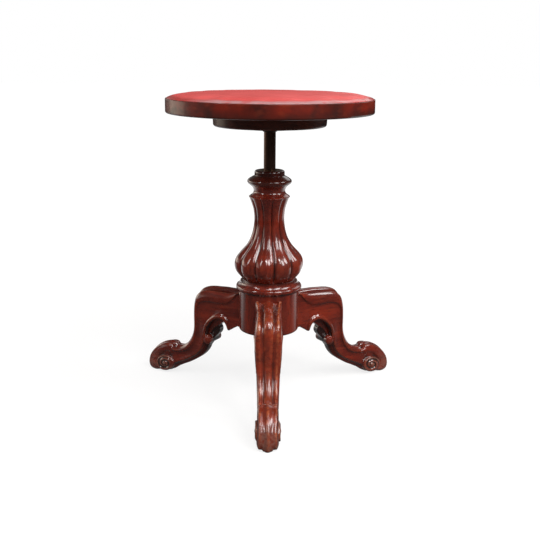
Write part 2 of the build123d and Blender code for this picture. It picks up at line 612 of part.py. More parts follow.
def volute():
    """Oval disc through the toe, with an eye at each end."""
    side_view = Plane.XZ * Rot(0, 0, VOLUTE_TILT) * Ellipse(VOLUTE_LONG, VOLUTE_SHORT)
    disc = Pos(TOE_CENTRE[0], 0, TOE_CENTRE[1]) * extrude(side_view, VOLUTE_REACH, both=True)
    return disc + roll(TOE_CENTRE, EYE_R, EYE_REACH)


def leg():
    shaft = Solid.make_loft([leg_section(*station) for station in LEG_STATIONS])
    toe = Solid.make_loft([toe_section(*section) for section in TOE_SECTIONS])
    body = Part() + shaft + toe + volute() + slab(PENDANT, PENDANT_W) + slab(WEB, WEB_W) + scroll_button()
    body = Pos(HUB_R, 0, 0) * body
    body -= rod(HUB_R + GLUE, 0, RIM_BOTTOM_Z)
    body -= rod(2 * SEAT_R, -HUB_BOTTOM_Z, 0)
    return body + tongue()


def build():
    flange_holes = flange_screws(SCREW_FIT)
    block_holes = block_screws(SCREW_FIT)
    rim_holes = rim_screws(SCREW_FIT)
    spider_holes = spider_screws(SCREW_FIT)
    one_leg = leg()
    nodes = {
        "seat_rim": seat_rim() - rim_holes,
        "seat_board": rod(BOARD_R, RIM_BOTTOM_Z, BOARD_TOP_Z) - rim_holes - block_holes - flange_holes,
        "rim_screws": group(rim_screws()),
        "seat_padding": seat_padding(),
        "seat_cover": seat_cover(),
        "seat_block": seat_block() - block_holes - flange_holes,
        "block_screws": group(block_screws()),
        "screw_flange": screw_flange() - flange_holes,
        "flange_screws": group(flange_screws()),
        "spindle": spindle(),
        "spindle_pin": cross_rod(CROSS_PIN_R, BOSS_R, PIN_Z),
        "end_nut": end_nut(),
        "cotter": cross_rod(COTTER_R, COTTER_REACH, COTTER_Z),
        "stop_washer": stop_washer(),
        "guide_bush": guide_bush() - bush_screws(SCREW_FIT),
        "bush_screws": group(bush_screws()),
        "thread_nut": thread_nut() - nut_screws(SCREW_FIT),
        "nut_screws": group(nut_screws()),
        "column": column(),
        "hub": hub() - spider_holes,
        "base_spider": base_spider() - spider_holes,
        "spider_screws": group(spider_screws()),
    }
    for name, angle in LEG_ANGLES.items():
        nodes[name] = Rot(0, 0, angle) * one_leg - spider_holes
    return nodes


os.makedirs("parts", exist_ok=True)
for node_name, shape in build().items():
    export_step(shape, f"parts/{node_name}.step")
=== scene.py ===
import bmesh
import bpy
import json
import math
import numpy
from mathutils import Matrix, Vector


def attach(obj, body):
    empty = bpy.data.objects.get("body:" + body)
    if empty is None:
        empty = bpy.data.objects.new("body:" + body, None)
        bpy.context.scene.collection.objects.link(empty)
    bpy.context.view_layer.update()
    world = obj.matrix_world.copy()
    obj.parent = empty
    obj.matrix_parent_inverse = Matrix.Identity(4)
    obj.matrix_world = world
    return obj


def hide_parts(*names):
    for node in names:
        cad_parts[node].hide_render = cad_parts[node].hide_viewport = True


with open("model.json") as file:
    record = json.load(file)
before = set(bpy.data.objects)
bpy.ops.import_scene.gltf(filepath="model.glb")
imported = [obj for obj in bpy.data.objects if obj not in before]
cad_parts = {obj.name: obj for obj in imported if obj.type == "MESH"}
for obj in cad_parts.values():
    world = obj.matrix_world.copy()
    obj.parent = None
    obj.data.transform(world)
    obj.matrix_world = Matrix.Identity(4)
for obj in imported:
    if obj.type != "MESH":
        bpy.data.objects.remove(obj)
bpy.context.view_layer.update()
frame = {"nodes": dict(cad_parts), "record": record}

scene = bpy.context.scene
bpy.ops.object.select_all(action="DESELECT")
mm = 0.001
print("frame loaded")

# Camera, light and floor

camera = {
    "place": (0.0, -1.4786, 0.5829),
    "tiltDown": 13.87,        # degrees below level
    "roll": -0.42,
    "lens": 59.73,            # mm, on a 36 mm sensor
    "shift": -0.0009,
}
bpy.ops.object.camera_add(location=camera["place"])
cam = bpy.context.object
cam.name = "camera"
cam.rotation_euler = (math.radians(90.0 - camera["tiltDown"]), math.radians(camera["roll"]), 0.0)
cam.data.lens = camera["lens"]
cam.data.sensor_width = 36.0
cam.data.shift_x = camera["shift"]
cam.data.clip_start = 0.05
scene.camera = cam

softBoxes = {
    # place, aimed at, width, height, brightness
    "windowRight": ((0.95, -1.15, 1.50), (0.0, 0.0, 0.25), 0.55, 1.10, 9.0),
    "windowFarRight": ((1.35, -0.25, 1.35), (0.0, 0.0, 0.25), 0.55, 0.80, 8.0),
    "windowFront": ((0.22, -1.45, 1.70), (0.0, 0.0, 0.25), 0.22, 0.90, 10.0),
    "windowLeft": ((-1.20, -0.85, 1.35), (0.0, 0.0, 0.25), 0.16, 1.10, 11.0),
    "lampTop": ((0.06, -0.95, 2.00), (0.0, 0.0, 0.2), 0.36, 0.36, 15.0),
    "skyLight": ((0.30, -0.15, 2.10), (0.0, 0.0, 0.4), 1.30, 1.30, 1.3),
    "fillBehind": ((0.70, 1.60, 1.30), (0.0, 0.0, 0.25), 0.90, 0.90, 0.9),
    "paleScreen": ((-1.60, 0.80, 0.48), (0.0, 0.0, 0.45), 1.00, 0.60, 1.5),
}
for name, (place, target, width, height, brightness) in softBoxes.items():
    bpy.ops.object.light_add(type="AREA", location=place)
    lamp = bpy.context.object
    lamp.name = name
    lamp.data.shape = "RECTANGLE"
    lamp.data.size = width
    lamp.data.size_y = height
    lamp.data.energy = brightness * width * height * math.pi
    lamp.data.color = (1.0, 0.86, 0.68) if name == "paleScreen" else (1.0, 1.0, 1.0)
    lamp.rotation_euler = (Vector(target) - Vector(place)).to_track_quat("-Z", "Y").to_euler()
print("camera and lamps placed")


def addNode(tree, kind, **settings):
    node = tree.nodes.new("ShaderNode" + kind)
    for name, value in settings.items():
        setattr(node, name, value)
    return node


# Gives a socket a number, a colour or the output of another node
def feed(tree, socket, value):
    if isinstance(value, bpy.types.NodeSocket):
        tree.links.new(value, socket)
    elif socket.type == "RGBA":
        socket.default_value = (*value[:3], 1.0)
    else:
        socket.default_value = value


def calculate(tree, operation, first, second=0.0):
    node = addNode(tree, "Math", operation=operation)
    feed(tree, node.inputs[0], first)
    feed(tree, node.inputs[1], second)
    return node.outputs[0]


def product(tree, first, *others):
    for other in others:
        first = calculate(tree, "MULTIPLY", first, other)
    return first


def rescale(tree, value, low, high, start=0.0, end=1.0):
    node = addNode(tree, "MapRange", interpolation_type="SMOOTHSTEP")
    for socket, number in zip(node.inputs, (value, low, high, start, end)):
        feed(tree, socket, number)
    return node.outputs[0]


def blendColours(tree, share, first, second, kind="MIX"):
    node = addNode(tree, "Mix", data_type="RGBA", blend_type=kind)
    feed(tree, node.inputs[0], share)
    feed(tree, node.inputs[6], first)
    feed(tree, node.inputs[7], second)
    return node.outputs[2]


room = {
    "ambient": 0.30,          # soft grey light from all round
    "ceiling": 0.07,          # what polish reflects overhead and in front
    "screen": 0.9,            # and behind, at the left
    "screenFacing": (0.9, 0.45),       # how far left and how far back the screen lies
    "screenEdge": (0.5, 0.9),
    "screenTop": (0.45, 0.1),
    "floor": (0.22, 0.215, 0.21),
    "floorInPolish": (0.035, 0.03, 0.028),
    "floorGlow": (0.80, 0.97),        # near the stool and far away
    "floorGlowInPolish": (0.03, 0.8),  # before the stool and behind it
    # metres over which each of these changes
    "floorFade": (0.3, 1.6),
    "floorBack": (0.0, 0.5),
    "floorEnd": (2.5, 1.2),
}
world = bpy.data.worlds.new("studio")
scene.world = world
world.use_nodes = True
tree = world.node_tree
tree.nodes.clear()
out = addNode(tree, "OutputWorld")
rays = addNode(tree, "LightPath")
direction = addNode(tree, "SeparateXYZ")
tree.links.new(addNode(tree, "TexCoord").outputs["Generated"], direction.inputs[0])
left, back = room["screenFacing"]
behind = calculate(tree, "SUBTRACT", product(tree, direction.outputs["Y"], back),
                   product(tree, direction.outputs["X"], left))
behind = rescale(tree, behind, *room["screenEdge"])
low = rescale(tree, direction.outputs["Z"], *room["screenTop"])
polish = rescale(tree, product(tree, behind, low), 0.0, 1.0, room["ceiling"], room["screen"])
mirrored = calculate(tree, "MAXIMUM", rays.outputs["Is Glossy Ray"], rays.outputs["Is Transmission Ray"])


def background(colour, strength=1.0):
    node = addNode(tree, "Background")
    feed(tree, node.inputs["Color"], colour)
    feed(tree, node.inputs["Strength"], strength)
    return node


soft = background((0.95, 0.96, 1.0), room["ambient"])
shiny = background((1.0, 0.96, 0.9), polish)
white = background((1.0, 1.0, 1.0))
firstMix = addNode(tree, "MixShader")
secondMix = addNode(tree, "MixShader")
for mixer, share, first, second in ((firstMix, mirrored, soft, shiny),
                                    (secondMix, rays.outputs["Is Camera Ray"], firstMix, white)):
    tree.links.new(share, mixer.inputs[0])
    tree.links.new(first.outputs[0], mixer.inputs[1])
    tree.links.new(second.outputs[0], mixer.inputs[2])
tree.links.new(secondMix.outputs[0], out.inputs["Surface"])
scene.view_settings.view_transform = "Standard"

bpy.ops.mesh.primitive_circle_add(vertices=96, radius=14.0, fill_type="NGON", location=(0.0, 0.0, 0.0))
floor = bpy.context.object
floor.name = "floor"
floorPaint = bpy.data.materials.new("paleFloor")
floorPaint.use_nodes = True
tree = floorPaint.node_tree
tree.nodes.clear()
out = addNode(tree, "OutputMaterial")
rays = addNode(tree, "LightPath")
matt = addNode(tree, "BsdfDiffuse")
feed(tree, matt.inputs["Color"],
     blendColours(tree, rays.outputs["Is Glossy Ray"], room["floor"], room["floorInPolish"]))
glow = addNode(tree, "Emission")
away = addNode(tree, "VectorMath", operation="LENGTH")
tree.links.new(addNode(tree, "TexCoord").outputs["Object"], away.inputs[0])
seen = product(tree, rays.outputs["Is Camera Ray"],
               rescale(tree, away.outputs["Value"], *room["floorFade"], *room["floorGlow"]))
spot = addNode(tree, "SeparateXYZ")
tree.links.new(away.inputs[0].links[0].from_socket, spot.inputs[0])
mirrored = product(tree, rays.outputs["Is Glossy Ray"],
                   rescale(tree, spot.outputs["Y"], *room["floorBack"], *room["floorGlowInPolish"]),
                   rescale(tree, away.outputs["Value"], *room["floorEnd"]))
tree.links.new(calculate(tree, "ADD", seen, mirrored), glow.inputs["Strength"])
both = addNode(tree, "AddShader")
tree.links.new(matt.outputs[0], both.inputs[0])
tree.links.new(glow.outputs[0], both.inputs[1])
tree.links.new(both.outputs[0], out.inputs["Surface"])
floor.data.materials.append(floorPaint)
print("floor laid")

# Finishes


def newMaterial(name):
    material = bpy.data.materials.new(name)
    material.use_nodes = True
    tree = material.node_tree
    return material, tree, tree.nodes["Principled BSDF"]


# Where the pattern sits: a piece's own attribute, or its object coordinates
def patternPlace(tree, attribute, stretch):
    if attribute:
        source = addNode(tree, "Attribute", attribute_name=attribute).outputs["Vector"]
    else:
        source = addNode(tree, "TexCoord").outputs["Object"]
    mapping = addNode(tree, "Mapping")
    feed(tree, mapping.inputs["Vector"], source)
    mapping.inputs["Scale"].default_value = stretch
    return source, mapping.outputs[0]


def noise(tree, place, scale, detail=3.0, distortion=0.0, roughness=0.5):
    node = addNode(tree, "TexNoise")
    feed(tree, node.inputs["Vector"], place)
    for name, value in (("Scale", scale), ("Detail", detail), ("Distortion", distortion), ("Roughness", roughness)):
        node.inputs[name].default_value = value
    return node.outputs["Fac"]


def bumpFrom(tree, shader, height, strength, depth):
    bump = addNode(tree, "Bump")
    bump.inputs["Strength"].default_value = strength
    bump.inputs["Distance"].default_value = depth
    feed(tree, bump.inputs["Height"], height)
    tree.links.new(bump.outputs[0], shader.inputs["Normal"])
    if shader.inputs["Coat Weight"].default_value:
        tree.links.new(bump.outputs[0], shader.inputs["Coat Normal"])


# Levels of noise between which each part of a pattern comes in
contrast = {
    "figure": (0.36, 0.64), "patches": (0.35, 0.75), "pores": (0.30, 0.44), "streaks": (0.52, 0.70),
    "rubbed": (0.38, 0.62), "scuffed": (0.30, 0.70), "dullness": (0.3, 0.8),
}

# Places on a leg in metres: along it from the column's axis, to either side, and above the floor
# places of the toe's wear and of the painted shade inside the arch
toeWearAndShade = {
    "scuffAlong": (0.212, 0.243), "scuffHigh": (0.046, 0.014), "scuffDulls": 0.3,
    "archAside": (0.0110, 0.0085), "archHigh": (0.110, 0.100), "archAlong": (0.150, 0.112), "archShare": 0.92,
    "eye": (0.211, 0.0, 0.0172), "eyeRadius": (0.019, 0.015), "eyeAside": (0.0150, 0.0165),
    # on the volute, for the dirt and painted shade in its grooves and for the wear on its ridges: relief in mm from
    # which each starts to where it is full, its share and its colour
    "eyeDirtAndShade": (0.15, -0.10, 0.9, (0.030, 0.018, 0.013)),
    "eyeWear": (0.12, 0.4, 0.6, (0.26, 0.14, 0.10)),
}


def attributeValue(tree, name):
    return addNode(tree, "Attribute", attribute_name=name).outputs["Fac"]


# Polish rubbed through on the edges
def rubbedEdges(tree, source, colour, look):
    ridge = rescale(tree, attributeValue(tree, "ridge"), look["wornFrom"] * mm, look["wornTo"] * mm)
    broken = rescale(tree, noise(tree, source, look["rubbing"], 4.0, 1.5), *contrast["rubbed"])
    return blendColours(tree, product(tree, ridge, broken, look["wornShare"]), colour, look["worn"])


# How much grime and painted shade lies in each hollow, with a ragged edge
def hollowDirtAndShade(tree, patches, look):
    ragged = product(tree, calculate(tree, "SUBTRACT", patches, 0.5), look["grimeAndShadeRagged"] * mm)
    depth = calculate(tree, "ADD", attributeValue(tree, "hollow"), ragged)
    return rescale(tree, depth, look["grimeAndShadeFrom"] * mm, look["grimeAndShadeTo"] * mm, 0.0, look["grimeAndShadeShare"])


# Bands of painted shade, each between two heights
def shadedBands(tree, height, colour, look):
    soft = look["bandEdge"] * mm
    for low, high, tint, share in look.get("shadeBands", ()):
        above = rescale(tree, height, low * mm - soft, low * mm + soft)
        below = rescale(tree, height, high * mm + soft, high * mm - soft)
        colour = blendColours(tree, product(tree, above, below, share), colour, tint)
    return colour


# Scuffs on the toe's end, painted shade inside the arch, and dirt with painted shade in the volute's grooves and wear
# on its ridges
def markedToe(tree, source, spot, colour, look):
    along, high = spot.outputs["X"], spot.outputs["Z"]
    aside = calculate(tree, "ABSOLUTE", spot.outputs["Y"])
    scuffed = product(tree, rescale(tree, along, *toeWearAndShade["scuffAlong"]), rescale(tree, high, *toeWearAndShade["scuffHigh"]),
                      rescale(tree, noise(tree, source, look["scuffs"], 5.0, 0.3), *contrast["scuffed"]),
                      look["toeShare"])
    colour = blendColours(tree, scuffed, colour, look["toe"])
    # painted shade inside the arch
    inner = product(tree, rescale(tree, aside, *toeWearAndShade["archAside"]), rescale(tree, high, *toeWearAndShade["archHigh"]),
                    rescale(tree, along, *toeWearAndShade["archAlong"]), toeWearAndShade["archShare"])
    colour = blendColours(tree, inner, colour, look["grimeAndShade"])
    flat = addNode(tree, "CombineXYZ")
    feed(tree, flat.inputs["X"], along)
    feed(tree, flat.inputs["Z"], high)
    eye = addNode(tree, "VectorMath", operation="DISTANCE")
    tree.links.new(flat.outputs[0], eye.inputs[0])
    eye.inputs[1].default_value = toeWearAndShade["eye"]
    scroll = product(tree, rescale(tree, eye.outputs["Value"], *toeWearAndShade["eyeRadius"]),
                     rescale(tree, aside, *toeWearAndShade["eyeAside"]))
    ridge = attributeValue(tree, "ridge")
    # dirt with painted shade in the volute's grooves, then wear on its ridges
    for start, full, share, tint in (toeWearAndShade["eyeDirtAndShade"], toeWearAndShade["eyeWear"]):
        part = product(tree, scroll, rescale(tree, ridge, start * mm, full * mm), share)
        colour = blendColours(tree, part, colour, tint)
    return colour, scuffed


# Polished mahogany: figure and pores along the grain, grime and painted shade in the hollows, painted shade in height
# bands, wear on the edges
def mahoganyFinish(name, look):
    material, tree, shader = newMaterial(name)
    source, place = patternPlace(tree, look.get("attribute"), look["stretch"])
    figure = rescale(tree, noise(tree, place, look["figure"], 4.0, 0.9), *contrast["figure"])
    patches = noise(tree, source, look["patches"], 2.0, 0.4)
    colour = blendColours(tree, figure, look["dark"], look["light"])
    patchy = rescale(tree, patches, *contrast["patches"], 0.0, look["patchy"])
    colour = blendColours(tree, patchy, colour, look["patch"])
    pores = rescale(tree, noise(tree, place, look["pores"], 2.0), *contrast["pores"], look["poreShare"], 0.0)
    colour = blendColours(tree, pores, colour, look["grimeAndShade"])
    streaks = noise(tree, place, look["figure"] * 5.0, 3.0, 0.3)
    streaks = rescale(tree, streaks, *contrast["streaks"], 0.0, look["streaks"])
    colour = blendColours(tree, streaks, colour, look["streak"])
    roughness = rescale(tree, patches, *contrast["dullness"], look["roughness"] - 0.03, look["roughness"] + 0.07)
    if look.get("worn"):
        colour = rubbedEdges(tree, source, colour, look)
    # hollows darkened: grime and painted shade in the recesses
    if look.get("grimeAndShadeTo"):
        dirtAndShade = hollowDirtAndShade(tree, patches, look)
        colour = blendColours(tree, dirtAndShade, colour, look["grimeAndShade"])
        roughness = calculate(tree, "ADD", roughness, product(tree, dirtAndShade, look["grimeDulls"]))
    if look.get("shadeBands") or look.get("toe"):
        spot = addNode(tree, "SeparateXYZ")
        tree.links.new(source, spot.inputs[0])
        colour = shadedBands(tree, spot.outputs["Z"], colour, look)
    if look.get("toe"):
        colour, scuffed = markedToe(tree, source, spot, colour, look)
        roughness = calculate(tree, "ADD", roughness, product(tree, scuffed, toeWearAndShade["scuffDulls"]))
    feed(tree, shader.inputs["Base Color"], colour)
    feed(tree, shader.inputs["Roughness"], roughness)
    for socket, value in (("Specular IOR Level", "polish"), ("Coat Weight", "coat"),
                          ("Coat Roughness", "coatRoughness"), ("Coat IOR", "coatIndex")):
        shader.inputs[socket].default_value = look[value]
    swirl = product(tree, noise(tree, source, look["swirls"], 2.0), look["ripple"])
    bumpFrom(tree, shader, calculate(tree, "ADD", product(tree, pores, -look["poreDepth"]), swirl), 1.0, 0.4 * mm)
    return material


# the darkest colour fills the pores, and in the hollows and inside the arch it is grime and painted shade
mahogany = {
    "stretch": (1.0, 1.0, 0.12), "figure": 60.0, "pores": 900.0, "patchy": 0.45,
    "light": (0.225, 0.022, 0.009), "dark": (0.115, 0.011, 0.006), "patch": (0.135, 0.017, 0.008),
    "streak": (0.30, 0.050, 0.015), "streaks": 0.25, "grimeAndShade": (0.012, 0.005, 0.004),
    "roughness": 0.24, "polish": 0.35, "coat": 1.0, "coatRoughness": 0.11, "coatIndex": 1.6,
    "patches": 34.0, "rubbing": 90.0, "scuffs": 260.0, "swirls": 70.0, "ripple": 0.025,
    "poreShare": 0.55, "poreDepth": 0.05, "grimeAndShadeRagged": 1.2, "grimeDulls": 0.22, "bandEdge": 1.2,
}
# the cap and collar under the seat carry a painted shadow of the seat
columnLook = dict(mahogany, grimeAndShadeFrom=0.15, grimeAndShadeTo=1.6, grimeAndShadeShare=0.8, bandEdge=2.5,
                  shadeBands=((364.0, 392.0, (0.018, 0.007, 0.005), 0.6), (378.0, 392.0, (0.015, 0.006, 0.005), 0.4)),
                  worn=(0.26, 0.040, 0.015), wornFrom=0.05, wornTo=0.25, wornShare=0.3)
# painted shade in the cove under the hub's ring and where the column stands on the ring
hubLook = dict(mahogany, shadeBands=((184.2, 187.4, (0.012, 0.005, 0.004), 0.6),
                                (201.2, 206.0, (0.02, 0.007, 0.005), 0.6)))
legLook = dict(mahogany, attribute="legPlace", stretch=(0.12, 1.0, 1.0), grimeAndShadeFrom=0.15, grimeAndShadeTo=2.2, grimeAndShadeShare=0.8,
               worn=(0.34, 0.075, 0.028), wornFrom=0.08, wornTo=0.45, wornShare=0.35,
               toe=(0.26, 0.14, 0.10), toeShare=0.55)
# the front leg has a lighter copy of the legs' mahogany, painted light; its brighter worn ridges are wear and painted
# highlight
litFrontLegLook = dict(legLook, light=(0.29, 0.034, 0.013), dark=(0.16, 0.02, 0.009), worn=(0.50, 0.13, 0.045),
                    wornShare=0.65, wornFrom=0.05, wornTo=0.4, grimeAndShadeShare=0.55)
# the rim's lower edge is darkened with painted shade under the seat
rimLook = dict(mahogany, stretch=(1.0, 1.0, 2.2), figure=9.0, streaks=0.3, streak=(0.26, 0.036, 0.012),
               light=(0.20, 0.015, 0.006), dark=(0.10, 0.009, 0.004), patch=(0.035, 0.006, 0.004), patchy=0.9,
               shadeBands=((470.0, 490.0, (0.035, 0.009, 0.006), 0.6),), bandEdge=8.0, roughness=0.34, coat=0.25)
# the block under the seat has a darker copy of the mahogany: painted shade
shadedBlockLook = dict(mahogany, stretch=(0.12, 1.0, 1.0), light=(0.10, 0.020, 0.010), dark=(0.055, 0.011, 0.006),
                 patch=(0.05, 0.014, 0.008), streaks=0.1, roughness=0.36, coat=0.1)


# Metal, felt and plain wood: a base colour broken up by patches and fine marks
def plainFinish(name, look):
    material, tree, shader = newMaterial(name)
    source, place = patternPlace(tree, None, look.get("stretch", (1.0, 1.0, 1.0)))
    patches = noise(tree, place, look["patches"], 4.0, 0.8)
    marks = noise(tree, place, look["marks"], 3.0)
    colour = blendColours(tree, rescale(tree, patches, 0.32, 0.68), look["colour"], look["stain"])
    marked = rescale(tree, marks, 0.55, 0.72, 0.0, look.get("markShare", 0.5))
    colour = blendColours(tree, marked, colour, look["mark"])
    feed(tree, shader.inputs["Base Color"], colour)
    feed(tree, shader.inputs["Roughness"], rescale(tree, patches, 0.3, 0.7, *look["roughness"]))
    shader.inputs["Metallic"].default_value = look.get("metallic", 0.0)
    bumpFrom(tree, shader, marks, look.get("relief", 0.3), 0.2 * mm)
    return material


plainLooks = {
    "pine": {"colour": (0.30, 0.17, 0.08), "stain": (0.20, 0.11, 0.05), "mark": (0.12, 0.06, 0.03),
             "patches": 30.0, "marks": 260.0, "stretch": (0.08, 1.0, 1.0), "roughness": (0.55, 0.75)},
    "steel": {"colour": (0.115, 0.055, 0.036), "stain": (0.06, 0.030, 0.022), "mark": (0.16, 0.08, 0.05),
              "patches": 60.0, "marks": 700.0, "stretch": (1.0, 1.0, 0.15), "roughness": (0.24, 0.4),
              "metallic": 0.75, "relief": 0.12, "markShare": 0.3},
    "iron": {"colour": (0.030, 0.024, 0.020), "stain": (0.050, 0.028, 0.018), "mark": (0.09, 0.035, 0.015),
             "patches": 80.0, "marks": 600.0, "roughness": (0.45, 0.7), "metallic": 0.5, "relief": 0.6},
    "brass": {"colour": (0.34, 0.22, 0.08), "stain": (0.20, 0.13, 0.06), "mark": (0.08, 0.05, 0.03),
              "patches": 90.0, "marks": 700.0, "roughness": (0.28, 0.45), "metallic": 1.0, "relief": 0.15},
    "screwSteel": {"colour": (0.16, 0.14, 0.12), "stain": (0.10, 0.07, 0.05), "mark": (0.05, 0.03, 0.02),
                   "patches": 200.0, "marks": 1500.0, "roughness": (0.3, 0.5), "metallic": 1.0, "relief": 0.2},
}


def leatherFinish(name, look):
    material, tree, shader = newMaterial(name)
    source, place = patternPlace(tree, None, (1.0, 1.0, 1.0))
    patches = noise(tree, place, look["patches"], 4.0, 0.6)
    grain = addNode(tree, "TexVoronoi", feature="SMOOTH_F1")
    feed(tree, grain.inputs["Vector"], place)
    grain.inputs["Scale"].default_value = look["grain"]
    pebbles = grain.outputs["Distance"]
    scuffs = noise(tree, place, look["scuffs"], 4.0, 0.5)
    colour = blendColours(tree, rescale(tree, patches, 0.35, 0.7), look["red"], look["faded"])
    colour = blendColours(tree, rescale(tree, pebbles, 0.25, 0.75, 0.0, 0.3), colour, look["crease"])
    colour = blendColours(tree, rescale(tree, scuffs, 0.58, 0.75, 0.0, 0.25), colour, look["scuff"])
    spot = addNode(tree, "SeparateXYZ")
    tree.links.new(source, spot.inputs[0])
    across = calculate(tree, "POWER", spot.outputs["X"], 2.0)
    deep = calculate(tree, "POWER", spot.outputs["Y"], 2.0)
    reach = calculate(tree, "SQRT", calculate(tree, "ADD", across, deep))
    # darker towards the rolled edge: painted shade where the leather turns down away from the light
    edge = rescale(tree, reach, *look["edgeReach"], 0.0, look["edgeShare"])
    colour = blendColours(tree, edge, colour, look["edge"])
    # pale crescent along the front of the roll: painted sheen of the light above, partly wear where sitters rub
    broken = rescale(tree, noise(tree, place, look["paleMarks"], 4.0, 0.5), 0.25, 0.6, *look["paleShares"])
    front = product(tree, rescale(tree, spot.outputs["Y"], *look["paleDeep"]),
                    rescale(tree, reach, *look["paleReach"]), broken)
    colour = blendColours(tree, front, colour, look["pale"])
    feed(tree, shader.inputs["Base Color"], colour)
    flat = rescale(tree, patches, 0.3, 0.7, *look["roughness"])
    rubbed = addNode(tree, "Mix", data_type="FLOAT")
    for socket, value in zip(rubbed.inputs[:1] + rubbed.inputs[2:4],
                             (rescale(tree, reach, *look["rollReach"]), flat, look["rollRoughness"])):
        feed(tree, socket, value)
    feed(tree, shader.inputs["Roughness"], rubbed.outputs[0])
    shader.inputs["Specular IOR Level"].default_value = look["polish"]
    height = calculate(tree, "ADD", product(tree, pebbles, 0.6), product(tree, scuffs, 0.4))
    bumpFrom(tree, shader, height, look["relief"], 0.3 * mm)
    return material


leatherLook = {
    "red": (0.60, 0.062, 0.056), "faded": (0.68, 0.080, 0.074), "crease": (0.40, 0.036, 0.032),
    "scuff": (0.70, 0.15, 0.14), "edge": (0.34, 0.030, 0.024), "edgeShare": 0.5,
    # pale: painted sheen along the front of the roll, partly wear
    "pale": (0.42, 0.25, 0.25), "paleShares": (0.35, 0.85), "paleMarks": 60.0,
    "patches": 16.0, "grain": 520.0, "scuffs": 420.0, "relief": 0.15,
    "roughness": (0.46, 0.58), "rollRoughness": 0.16, "polish": 0.9,
    # metres from the middle of the seat, or in front of it, over which each comes in
    "edgeReach": (0.150, 0.1665), "rollReach": (0.155, 0.164), "paleReach": (0.156, 0.163),
    "paleDeep": (-0.100, -0.150),
}
wood = {name: mahoganyFinish(name, look) for name, look in (
    ("mahoganyColumn", columnLook), ("mahoganyHub", hubLook), ("mahoganyLegs", legLook),
    ("mahoganyFrontLegLit", litFrontLegLook), ("mahoganyRim", rimLook), ("mahoganyBlockShaded", shadedBlockLook))}
plain = {name: plainFinish(name, look) for name, look in plainLooks.items()}
redLeather = leatherFinish("redLeather", leatherLook)

finishes = {
    "mahogany": wood["mahoganyHub"], "board_pine": plain["pine"], "red_leather": redLeather,
    "horsehair_felt": redLeather, "dark_steel": plain["steel"], "cast_iron": plain["iron"],
    "brass": plain["brass"], "screw_steel": plain["screwSteel"],
}
ownFinish = {"seat_rim": wood["mahoganyRim"], "seat_block": wood["mahoganyBlockShaded"]}
slotOf = {part["node"]: part["material_slot"] for part in frame["record"]["subparts"]}
for name, node in frame["nodes"].items():
    node.data.materials.clear()
    node.data.materials.append(ownFinish.get(name, finishes[slotOf[name]]))
print("finishes given")

# Carved legs

